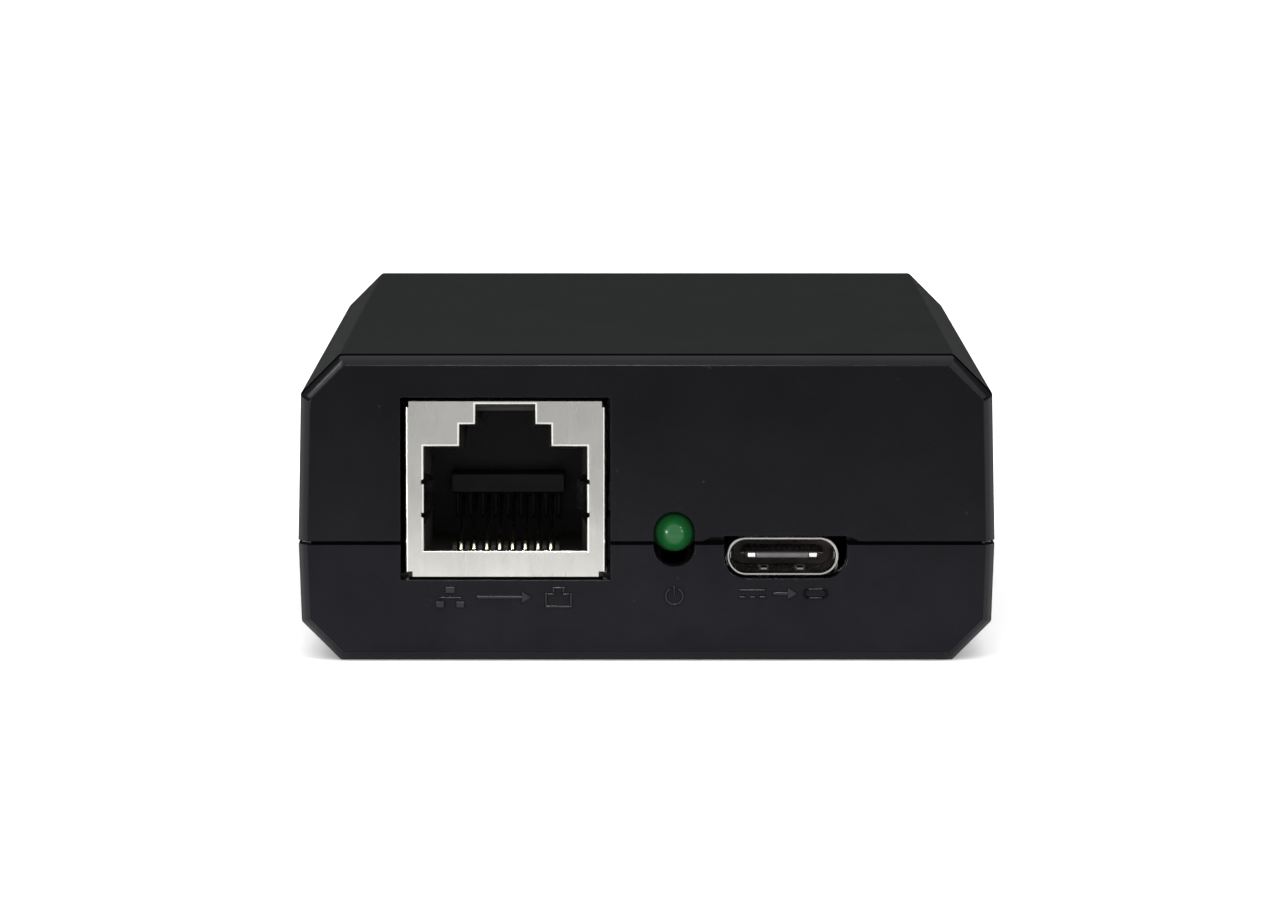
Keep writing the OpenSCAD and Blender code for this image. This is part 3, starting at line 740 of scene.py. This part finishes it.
def plug_sign():
    """Outline of a USB-C plug, in short pieces."""
    outer, inner = stadium(2, 0.9, 10), stadium(1.6, 0.5, 10)
    n = len(outer)
    return [[outer[i], outer[(i + 1) % n], inner[(i + 1) % n], inner[i]] for i in range(n)]


def moved(shapes, x, z, flip=1):
    """The shapes shifted to (x, z), and mirrored left to right where flip is -1."""
    return [[(x + flip * p[0], z + p[1]) for p in s] for s in shapes]


def make_signs():
    """All raised signs of both end faces, with eased edges."""
    tree = moved(tree_sign(), JACK_X - 4.4, JACK_SIGN_Z)
    jack = moved(jack_sign(), JACK_X + 4.2, JACK_SIGN_Z)
    front = (tree + moved(arrow_sign(4.4), JACK_X - 2.3, JACK_SIGN_Z) + jack
             + moved(power_sign(), LED_X, LED_SIGN_Z)
             + moved(dc_sign(), USB_X - 2.4, USB_SIGN_Z) + moved(arrow_sign(2), USB_X - 0.8, USB_SIGN_Z)
             + moved(plug_sign(), USB_X + 2.6, USB_SIGN_Z))
    back = jack + moved(arrow_sign(4.4), JACK_X + 2.3, JACK_SIGN_Z, -1) + tree

    def fill(bm):
        for shapes, out in ((front, -1), (back, 1)):
            y = out * HALF_L
            for s in shapes:
                loft(bm, [at_y(s, y - out * 0.1), at_y(s, y + out * (SIGN_T - 0.09)),
                          at_y(grow(s, -0.03), y + out * (SIGN_T - 0.03)),
                          at_y(grow(s, -0.06), y + out * (SIGN_T - 0.002))])
        bmesh.ops.remove_doubles(bm, verts=bm.verts, dist=1e-9)

    ob = build("port_signs", fill)
    piece(ob, "case", ["lower_shell"], "case_lower", sign_plastic)
    soften(ob)


# ---------------------------------------------------------------- shielded jacks
# A jack's own frame: X across, Y inwards from its front, Z up from the board.
SHIELD_OPENING = [(6.45, 2.07), (6.45, 10.35), (3.6, 10.35), (3.6, 12.1), (2.33, 12.1), (2.33, 13.7)]
PLUG_SPACE = [(6.05, 2.06), (6.05, 4.5), (6.75, 4.5), (6.75, 7.9), (6.05, 7.9), (6.05, 10), (3.4, 10),
              (3.4, 11.8), (2.15, 11.8), (2.15, 13.2)]
LEAF_Z = (5.1, 7.37)
LEAF = [(6.74, 0.005), (6.6, 0.02), (6.49, 0.09), (6.42, 0.2), (6.38, 0.4), (5.65, 3), (5.8, 4), (6.15, 6)]


def jack_place(end):
    """Matrix (mm) from a jack's own frame to the part: end -1 is the outlet face, 1 the inlet face."""
    turn = Matrix.Rotation(0 if end < 0 else math.pi, 4, "Z")
    return Matrix.Translation((JACK_X, end * (HALF_L - JACK_INSET), BOARD_Z)) @ turn


def shield_sheet(bm):
    """Folded sheet: front and sides as a U in plan."""
    w, inner = JACK_W / 2, JACK_W / 2 - SHEET
    outside = fillet([(-w, JACK_D), (-w, 0), (w, 0), (w, JACK_D)], [0, 0.32, 0.32, 0], 5)
    inside = fillet([(inner, JACK_D), (inner, SHEET), (-inner, SHEET), (-inner, JACK_D)], [0, 0.1, 0.1, 0], 5)
    prism_z(bm, outside + inside, 0, JACK_H - 0.02)


def shield_top(bm):
    """Top sheet, folded down at the front edge and at the back."""
    w = JACK_W / 2 - 0.04
    prof = [(0.03, JACK_H - 0.3), (0.03, JACK_H), (JACK_D, JACK_H), (JACK_D, 0.4), (JACK_D - SHEET, 0.4),
            (JACK_D - SHEET, JACK_H - SHEET), (0.3, JACK_H - SHEET)]
    prism_x(bm, fillet(prof, [0, 0.22, 0.3, 0, 0, 0.05, 0], 4), -w, w)


def shield_opening(bm):
    """Cutter for the plug's opening, with a rounded edge."""
    o = both_sides(SHIELD_OPENING)
    loops = [at_y(grow(o, 0.4), -0.3)] + [at_y(grow(o, g), d) for g, d in round_in(0.2, 4)]
    loft(bm, loops + [at_y(o, 1)])


def shield_corners(bm):
    """Cutter for the notches where the folds meet, two below and two above."""
    for side in (0, 1):
        for reach, deep, z0, z1 in ((0.62, 3, -1, 0.42), (0.35, 15, JACK_H - 0.5, JACK_H + 1)):
            x0, x1 = mirrored(JACK_W / 2 + 0.2, JACK_W / 2 - reach)[side]
            box(bm, x0, x1, -1, deep, z0, z1)


def leaf_roots(bm):
    """Cutter for the gaps in the front sheet where the grounding leaves bend in."""
    for x0, x1 in mirrored(6, LEAF[0][0]):
        box(bm, x0, x1, -1, 1, LEAF_Z[0] - 0.06, LEAF_Z[1] + 0.06)


def shield_nicks(bm):
    """Cutter for the round nicks above and below each leaf."""
    for x in (-6.5, 6.5):
        for z in (4.89, 7.58):
            lathe(bm, [(0, -1), (0.2, -1), (0.2, 1), (0, 1)], (x, 0, z), (0, 1, 0), 16)


def shield_details(bm):
    """Solder tabs, and the grounding leaves that bend in from the front beside the plug space."""
    tab = [(8.7, 0.2), (8.7, -2.1), (8.95, -2.4), (10.05, -2.4), (10.3, -2.1), (10.3, 0.2)]
    leaf = LEAF + [(x + 0.2, y) for x, y in reversed(LEAF[3:])] + [(6.74, SHEET - 0.01)]
    for s, (x0, x1) in zip((-1, 1), mirrored(JACK_W / 2, JACK_W / 2 - SHEET)):
        prism_x(bm, tab, x0, x1)
        prism_z(bm, [(s * x, y) for x, y in leaf], *LEAF_Z)


def shield_finish(c, n):
    """0 sheet, 1 edge of the opening, 2 outer folds; 1 and 2 take lighter copies of the nickel as painted
    highlights.
    """
    if 0.1 < abs(n.y) < 0.985 and abs(c.y) > HALF_L - 1:
        return 2 if abs(c.x - JACK_X) > JACK_W / 2 - 0.4 else 1
    return 0


def make_shield(title, place):
    """Sheet shield, with its opening edge and folds painted lighter as highlights."""
    shield = build(f"{title}_shield_sheet", shield_sheet)
    carve(shield, shield_top, how="UNION")
    carve(shield, shield_opening, shield_corners, leaf_roots, shield_nicks)
    carve(shield, shield_details, how="UNION")
    seat(shield, place)
    piece(shield, "case", [f"{title}_shield"], "jack_nickel", nickel, nickel_edge_highlight, nickel_fold_highlight)
    paint(shield, shield_finish)
    soften(shield, 0.035)


def plug_space(bm):
    """Cutter for the plug, with a wider mouth."""
    o = both_sides(PLUG_SPACE)
    loft(bm, [at_y(grow(o, 0.4), SHEET - 0.1), at_y(grow(o, 0.36), SHEET + 0.03), at_y(o, 2.2), at_y(o, 13)])


def bed_ribs(bm):
    """Low walls between the wires, in the bed under the plug space, and the bar over the latch slot."""
    box(bm, -2.5, 2.5, 0.9, 2.2, 13.16, 13.65)
    for i in range(WIRES + 1):
        x = (i - WIRES / 2) * WIRE_PITCH
        prism_x(bm, [(1.2, 0.9), (1.5, 2.3), (1.7, 2.42), (3.6, 2.42), (4.2, 0.9)], x - 0.17, x + 0.17)


def make_housing(title, place):
    """Plastic housing: plug space, bed for the wires, opening for their legs, room for the shield's tabs."""
    housing = build(f"{title}_plastic", box_of(-7.7, 7.7, SHEET + 0.03, 12, 0, 13.65))
    carve(housing, plug_space, box_of(-4.2, 4.2, 1.35, 13, 1.1, 3), box_of(-4.2, 4.2, 5.9, 9.6, -1, 3),
          box_of(-8, -7.4, 8.2, 10.8, -1, 1.5), box_of(7.4, 8, 8.2, 10.8, -1, 1.5))
    carve(housing, bed_ribs, how="UNION")
    seat(housing, place)
    piece(housing, "case", [f"{title}_housing"], "jack_plastic", jack_black)
    soften(housing, 0.05)


def insert_block(bm):
    """Back block, the comb that guides the wires, and the panel in front of it."""
    box(bm, -7.7, 7.7, 12.05, JACK_D - SHEET - 0.05, 0, 13.6)
    for i in range(WIRES + 1):
        x = (i - WIRES / 2) * WIRE_PITCH
        prism_x(bm, [(10.95, 3.4), (12.2, 3.4), (12.2, 5.55), (10.8, 5.55), (10.8, 3.6)], x - 0.12, x + 0.12)
    prism_x(bm, [(9.9, 5.6), (10.05, 5.5), (12.2, 5.5), (12.2, 7.2), (10.1, 7.2), (9.9, 7.05)], -4.53, 4.53)


def make_insert(title, place):
    """The block with the comb at the back of the plug space."""
    insert = build(f"{title}_comb", insert_block, place)
    piece(insert, "case", [f"{title}_insert"], "insert_plastic", insert_grey)
    soften(insert, 0.03, 1)


def wire_places():
    """X of each wire."""
    return [(i - (WIRES - 1) / 2) * WIRE_PITCH for i in range(WIRES)]


def spring_wires(bm):
    """Free wires, straight from the round front bend up to the comb."""
    slope = math.radians(WIRE_SLOPE)
    start = Vector((0, BEND_Y - BEND_R * math.sin(slope), BEND_Z + BEND_R * math.cos(slope)))
    ahead = Vector((0, math.cos(slope), math.sin(slope)))
    tip = start + ahead * (WIRE_LEN - 0.02)
    for across in wire_places():
        x = Vector((across, 0, 0))
        tube(bm, [x + start, x + start + ahead * 3, x + start + ahead * 6, x + tip - ahead * 0.15, x + tip],
             WIRE_D / 2)


def wire_tails(bm):
    """Fixed runs: the front bend, the run back under the bed and the leg through the board."""
    # the bend reaches as far as the end of a pressed wire, so that no gap opens
    bend_top = 90 + WIRE_SLOPE - FLEX
    low, turn_r = BEND_Z - BEND_R, 0.35
    for i, x in enumerate(wire_places()):
        leg = 6.5 if i % 2 == 0 else 9.0
        path = []
        for s in range(13):
            a = math.radians(bend_top + (270 - bend_top) * s / 12)
            path.append((x, BEND_Y + BEND_R * math.cos(a), BEND_Z + BEND_R * math.sin(a)))
        path.append((x, leg - turn_r, low))
        for s in range(1, 7):
            a = math.radians(90 - 90 * s / 6)
            path.append((x, leg - turn_r + turn_r * math.cos(a), low - turn_r + turn_r * math.sin(a)))
        path.append((x, leg, -2.5))
        tube(bm, path, WIRE_D / 2)


def make_wires(title, place, body):
    """Spring wires, which ride on the given body, and their fixed runs."""
    contacts = build(f"{title}_spring_wires", spring_wires, place)
    # the free spring wires take the darkened gold: painted shade
    piece(contacts, body, [f"{title}_contacts"], "contact_gold", wire_gold_shaded)
    soften(contacts)
    pins = build(f"{title}_wire_tails", wire_tails, place)
    piece(pins, "case", [f"{title}_pins"], "contact_gold", gold)
    soften(pins)


def make_jack(end, title, body):
    """One whole jack; its spring wires ride on the given body."""
    place = jack_place(end)
    make_shield(title, place)
    make_housing(title, place)
    make_insert(title, place)
    make_wires(title, place, body)


# ---------------------------------------------------------------- USB-C outlet
# The outlet's own frame: X across, Y inwards from its front, Z up from its middle.
USB_AT = Vector((USB_X, -HALF_L + USB_INSET, BOARD_Z + USB_H / 2))
USB_PLACE = Matrix.Translation(USB_AT)
SPRING_X = 1.45


def usb_shell(bm):
    """Drawn shell with a rounded front edge and a step inside, and its four solder tabs."""
    eased = [(0.12, 0.0), (0.035, 0.035), (0.0, 0.12)]
    outer = [at_y(stadium(USB_W - 2 * i, USB_H - 2 * i, 20), d) for i, d in eased]
    inner = [at_y(stadium(USB_W - 2 * (USB_T - i), USB_H - 2 * (USB_T - i), 20), d)
             for i, d in eased + [(0.0, 0.7), (-0.07, 0.8)]]
    back_in = at_y(stadium(USB_W - 2 * USB_T - 0.14, USB_H - 2 * USB_T - 0.14, 20), USB_D - 0.3)
    back_out = at_y(stadium(USB_W, USB_H, 20), USB_D)
    loft(bm, [back_in] + inner[::-1] + outer + [back_out])
    for x in (-4.35, 4.35):
        for y in (3.2, 6.7):
            box(bm, x - 0.12, x + 0.12, y - 0.5, y + 0.5, -USB_H / 2 - 2.2, 0)


def spring_holes(bm):
    """Cutter for the shell's windows above and below, behind the small springs."""
    for x in (-SPRING_X, SPRING_X):
        box(bm, x - 0.42, x + 0.42, 1.3, 4.5, -2, 2)


def shell_finish(c, n):
    """0 outside and front edge, 1 inside, which is painted lighter and browner than the outside as a painted
    reflection.
    """
    x, y, z = c - USB_AT
    return 1 if y > 0.13 and (n.x * x < -0.001 or n.z * z < -0.001) else 0


def usb_springs(bm):
    """Small springs in the shell: one at each side, two above and two below."""
    side = [(4.1, 0.9), (4.22, 0.9), (4.0, 2.2), (4.2, 3.6), (4.05, 3.6), (3.86, 2.2)]
    upper = [(1.75, 1.2), (2.3, 1.0), (4.5, 1.28), (4.5, 1.36), (2.3, 1.08), (1.75, 1.28)]
    lower = [(2.0, -1.3), (2.06, -1.17), (2.3, -1.05), (4.5, -1.28), (4.5, -1.36), (2.33, -1.13),
             (2.15, -1.21), (2.08, -1.32)]
    for s in (-1, 1):
        prism_z(bm, [(s * px, py) for px, py in side], -0.42, 0.42)
    for x in (-SPRING_X, SPRING_X):
        prism_x(bm, upper, x - 0.28, x + 0.28)
        prism_x(bm, lower, x - 0.24, x + 0.24)


def make_usb_shell():
    """Shell, and the small springs in it."""
    shell = build("usb_c_shell", usb_shell)
    carve(shell, spring_holes)
    seat(shell, USB_PLACE)
    piece(shell, "case", ["usb_shell"], "usb_steel", usb_metal, usb_inner_painted_light)
    paint(shell, shell_finish)
    soften(shell)
    leaves = build("usb_c_springs", usb_springs, USB_PLACE)
    piece(leaves, "case", ["usb_shell"], "usb_steel", usb_metal)
    soften(leaves)


def tongue_tip(bm):
    """Thin front part of the tongue."""
    prof = [(5.4, -0.35), (1.15, -0.35), (0.9, -0.24), (0.9, 0.24), (1.15, 0.35), (5.4, 0.35)]
    prism_x(bm, prof, -2.95, 2.95)


def tongue_base(bm):
    """Block that the tongue stands on, at the back of the shell."""
    prism_y(bm, stadium(USB_W - 0.7, USB_H - 0.7, 16), 5, USB_D - 0.35)


def ear_pockets(bm):
    """Cutter for the tip's pockets, where the plate's ears are bare."""
    for x0, x1 in mirrored(2.08, 3.1):
        box(bm, x0, x1, 0.7, 1.65, -0.21, 0.21)


def make_usb_tongue():
    """Plastic tongue on its base."""
    tongue = build("usb_c_tongue", tongue_tip)
    carve(tongue, ear_pockets)
    carve(tongue, tongue_base, how="UNION")
    seat(tongue, USB_PLACE)
    piece(tongue, "case", ["usb_tongue"], "usb_plastic", usb_black, usb_base_painted_light)
    # painted light by depth: faces more than 3.5 mm in take the lighter copy of the plastic
    paint(tongue, lambda c, n: 1 if c.y > USB_AT.y + 3.5 else 0)
    soften(tongue, 0.05)


def usb_plate(bm):
    """What is seen of the metal plate in the tongue: front ears, side edges and front bar."""
    for ear, edge in zip(mirrored(2.13, 2.76), mirrored(2.9, 3.3)):
        box(bm, *ear, 0.9, 1.6, -0.19, 0.19)
        box(bm, *edge, 2.2, 5.75, -0.07, 0.07)
    box(bm, -2.06, 2.06, 0.885, 1.3, -0.2, 0.18)


def make_usb_plate():
    """Metal plate in the tongue."""
    mid = build("usb_c_midplate", usb_plate, USB_PLACE)
    piece(mid, "case", ["usb_midplate"], "usb_steel", nickel_ear_highlight, usb_plate_shaded)
    # the ears take the painted highlight, the rest of the plate the painted shade
    paint(mid, lambda c, n: 0 if 2.08 < abs(c.x - USB_X) < 2.8 else 1)
    soften(mid, 0.05)


def usb_strips(bm):
    """Twelve contact strips above and twelve below; the ground and supply strips reach further forward."""
    for i in range(12):
        x = (i - 5.5) * 0.48
        front = 2.1 if i in (0, 3, 8, 11) else 2.3
        for z in (0.34, -0.365):
            box(bm, x - 0.12, x + 0.12, front, 5, z, z + 0.025)


def make_usb():
    """The whole outlet."""
    make_usb_shell()
    make_usb_tongue()
    make_usb_plate()
    strips = build("usb_c_strips", usb_strips, USB_PLACE)
    piece(strips, "case", ["usb_contacts"], "usb_gold", strip_gold_shaded)
    soften(strips)


# ---------------------------------------------------------------- status light
def led_material():
    """Tinted, slightly milky epoxy under a clear glossy skin. A faint green emission is painted light that
    evens out the dome, and it dims with depth as painted shade.
    """
    mat, nt, bsdf = new_material("led_epoxy")
    tints = [(0.3, (0.0015, 0.031, 0.0065)), (0.7, (0.0025, 0.042, 0.0095))]
    nt.links.new(ramp(nt, add_noise(nt, 700.0, 2.0), tints), bsdf.inputs["Base Color"])
    spread = ramp(nt, add_noise(nt, 3000.0, 2.0), [(0.3, grey(0.28)), (0.7, grey(0.36))])
    nt.links.new(spread, bsdf.inputs["Roughness"])
    bsdf.inputs["Specular IOR Level"].default_value = 0.1
    bsdf.inputs["Coat Weight"].default_value = 0.22
    bsdf.inputs["Coat Roughness"].default_value = 0.1
    # painted light and shade: green emission over the dome, strongest at the tip and dimming towards its back
    led_painted_light = ramp(nt, along(nt, "Y", LED_TIP_Y, LED_TIP_Y + LED_D / 2),
                [(0.0, (0.0065, 0.045, 0.012)), (0.5, (0.006, 0.041, 0.011)), (0.95, (0.001, 0.006, 0.002))])
    nt.links.new(led_painted_light, bsdf.inputs["Emission Color"])
    bsdf.inputs["Emission Strength"].default_value = 1.0
    return mat


def led_dome(bm):
    """Round dome, straight body and the flange at its foot."""
    r = LED_D / 2
    arc = [math.radians(a) for a in range(6, 90, 7)]
    dome = [(0, 0)] + [(r * math.sin(a), r - r * math.cos(a)) for a in arc]
    body = [(r, r), (r, 4.17), (1.82, 4.2), (1.9, 4.28), (1.9, 5.12), (1.82, 5.2), (0, 5.2)]
    lathe(bm, dome + body, (LED_X, LED_TIP_Y, LED_Z), (0, 1, 0), 64)


def make_led():
    """The light in its slot."""
    ob = build("led_dome", led_dome)
    piece(ob, "case", ["led_lens"], "led_green", led_material())
    soften(ob)


# ---------------------------------------------------------------- carried-over nodes
def dress(node, material, width=0.05, segments=2):
    """Keep a CAD node, with a material and with edges eased by width, mm."""
    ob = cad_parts[node]
    ob.data.materials.clear()
    ob.data.materials.append(material)
    ob.modifiers.new("weld", "WELD").merge_threshold = 1e-6
    bevel(ob, width, segments, 35)
    flat_normals(ob)


def dress_inside():
    """Materials and eased edges for all that is hidden in the case, and for the screws."""
    zinc = metal("zinc", (0.32, 0.32, 0.34), (0.45, 0.45, 0.46), 0.35)
    tin = metal("tin", (0.3, 0.3, 0.29), (0.4, 0.4, 0.39), 0.4)
    # painted shade: the light's leads are a much darker copy of the tin, for the shade in the slot below the
    # light
    lead_shaded = metal("lead_shaded", grey(0.02), grey(0.035), 0.5)
    board = plastic("solder_mask", (0.004, 0.026, 0.01), (0.007, 0.038, 0.015), 0.3, 0.4, 3000.0, 0.1)
    epoxy = plastic("chip_epoxy", grey(0.014), grey(0.02), 0.55, 0.35)
    ferrite = plastic("ferrite_core", (0.03, 0.028, 0.027), (0.045, 0.042, 0.04), 0.7, 0.3, 4000.0, 0.5)
    bobbin = plastic("bobbin_resin", grey(0.02), grey(0.028), 0.45, 0.4)
    tape = plastic("winding_tape", (0.62, 0.42, 0.05), (0.7, 0.5, 0.08), 0.3, 0.5, 1200.0, 0.1)
    white = plastic("coupler_body", (0.68, 0.68, 0.63), (0.78, 0.78, 0.74), 0.5, 0.4)
    sleeve = plastic("capacitor_film", (0.02, 0.03, 0.11), (0.03, 0.045, 0.15), 0.25, 0.5)
    disc = plastic("disc_lacquer", (0.03, 0.12, 0.38), (0.05, 0.17, 0.47), 0.28, 0.5)
    resist = plastic("resistor_glaze", grey(0.02), grey(0.03), 0.3, 0.5)
    chip = plastic("chip_ceramic_body", (0.32, 0.22, 0.13), (0.42, 0.3, 0.19), 0.5, 0.4)
    dress("case_screws", zinc, 0.12, 3)
    dress("main_board", board, 0.04, 1)
    for node in ("lan_magnetics", "bridge_rectifiers", "pd_controller", "switch_transistor", "output_diode",
                 "surge_diode", "usb_power_chip"):
        dress(node, epoxy, 0.1)
    for node in ("lan_magnetics_leads", "transformer_pins", "bridge_leads", "controller_leads",
                 "optocoupler_leads", "capacitor_leads"):
        dress(node, tin, 0.03, 1)
    dress("led_leads", lead_shaded, 0.03, 1)
    dress("transformer_core", ferrite, 0.15)
    dress("output_inductor", ferrite, 0.2)
    dress("transformer_bobbin", bobbin)
    dress("transformer_winding", tape, 0.5, 4)
    dress("optocoupler", white, 0.1)
    dress("input_capacitor", sleeve, 0.06)
    dress("output_capacitors", sleeve, 0.06)
    dress("y_capacitor", disc, 0.4, 4)
    dress("chip_resistors", resist, 0.04)
    dress("chip_capacitors", chip, 0.06)


# ---------------------------------------------------------------- floor, light, camera (metres)
def make_stage():
    """A plain pale floor."""
    mat, nt, bsdf = new_material("floor_paper")
    tone = ramp(nt, add_noise(nt, 3.0), [(0.0, grey(0.93)), (1.0, grey(0.96))])
    nt.links.new(tone, bsdf.inputs["Base Color"])
    bsdf.inputs["Roughness"].default_value = 0.9

    def fill(bm):
        bm.faces.new([bm.verts.new(Vector((x, y, 0)) * MM) for x, y in rect(-FLOOR, FLOOR, -FLOOR, FLOOR)])

    floor = build("floor", fill)
    floor.data.materials.append(mat)
    floor.data.shade_smooth()


def new_light(name, kind, power):
    """A light in the scene, as (object, light)."""
    light = bpy.data.lights.new(name, kind)
    light.energy = power
    ob = bpy.data.objects.new(name, light)
    bpy.context.scene.collection.objects.link(ob)
    return ob, light


def area_light(name, at, aim, size, power):
    """A soft rectangular light that aims at a point."""
    ob, light = new_light(name, "AREA", power)
    light.shape = "RECTANGLE"
    light.size, light.size_y = size
    ob.location = at
    ob.rotation_euler = (aim - at).to_track_quat("-Z", "Y").to_euler()


def sun_light(name, towards, angle, strength):
    """A distant soft light that comes from the given direction and is angle degrees across."""
    ob, light = new_light(name, "SUN", strength)
    light.angle = math.radians(angle)
    ob.rotation_euler = Vector(towards).to_track_quat("Z", "Y").to_euler()


def make_light():
    """A dim room and a very wide soft light from above and in front, with small boxes and strips at both
    sides that the bevels, the jack's folds and the light's dome mirror, and a pool of light from above.
    """
    world = bpy.data.worlds.new("studio")
    world.use_nodes = True
    back = world.node_tree.nodes["Background"]
    back.inputs["Color"].default_value = (1, 1, 1, 1)
    back.inputs["Strength"].default_value = 0.16
    bpy.context.scene.world = world
    sun_light("key", (0.0, -0.38, 0.925), 130, 4.7)
    port = Vector((0.002, -0.04, 0.011))
    for name, towards, reach, size, power in (
        ("left_box", (-0.748, -0.657, 0.103), 0.73, (0.14, 0.14), 3.3),
        ("left_high", (-0.64, 0.2, 0.745), 0.8, (0.05, 0.38), 0.9),
        ("right_low", (0.8, -0.58, 0.17), 0.8, (0.2, 0.06), 1.1),
        ("right_high", (0.59, -0.54, 0.6), 0.8, (0.04, 0.22), 1.2),
        ("right_panel", (0.85, -0.5, 0.13), 0.82, (0.8, 0.2), 0.8),
    ):
        area_light(name, port + Vector(towards).normalized() * reach, port, size, power)
    ob, pool = new_light("pool", "SPOT", 8.0)
    pool.spot_size, pool.spot_blend, pool.shadow_soft_size = math.radians(18), 1.0, 0.03
    ob.location = (-0.01, -0.1, 0.5)


def make_camera():
    """The view of the outlet face that shows the whole box, slightly from above."""
    cam = bpy.data.cameras.new("photo_view")
    cam.lens, cam.sensor_width = 169.7, 36.0
    cam.clip_start, cam.clip_end = 0.01, 20
    ob = bpy.data.objects.new("photo_view", cam)
    ob.location = (-0.00052, -0.51563, 0.06905)
    ob.rotation_euler = (math.pi / 2 - 0.1096, 0, 0)
    bpy.context.scene.collection.objects.link(ob)
    bpy.context.scene.camera = ob
    bpy.context.scene.view_settings.view_transform = "Standard"
    bpy.context.scene.view_settings.look = "None"


make_upper_shell()
make_lower_shell()
make_signs()
make_jack(-1, "data_jack", "data_contacts")
make_jack(1, "inlet_jack", "inlet_contacts")
make_usb()
make_led()
dress_inside()
make_stage()
make_light()
make_camera()
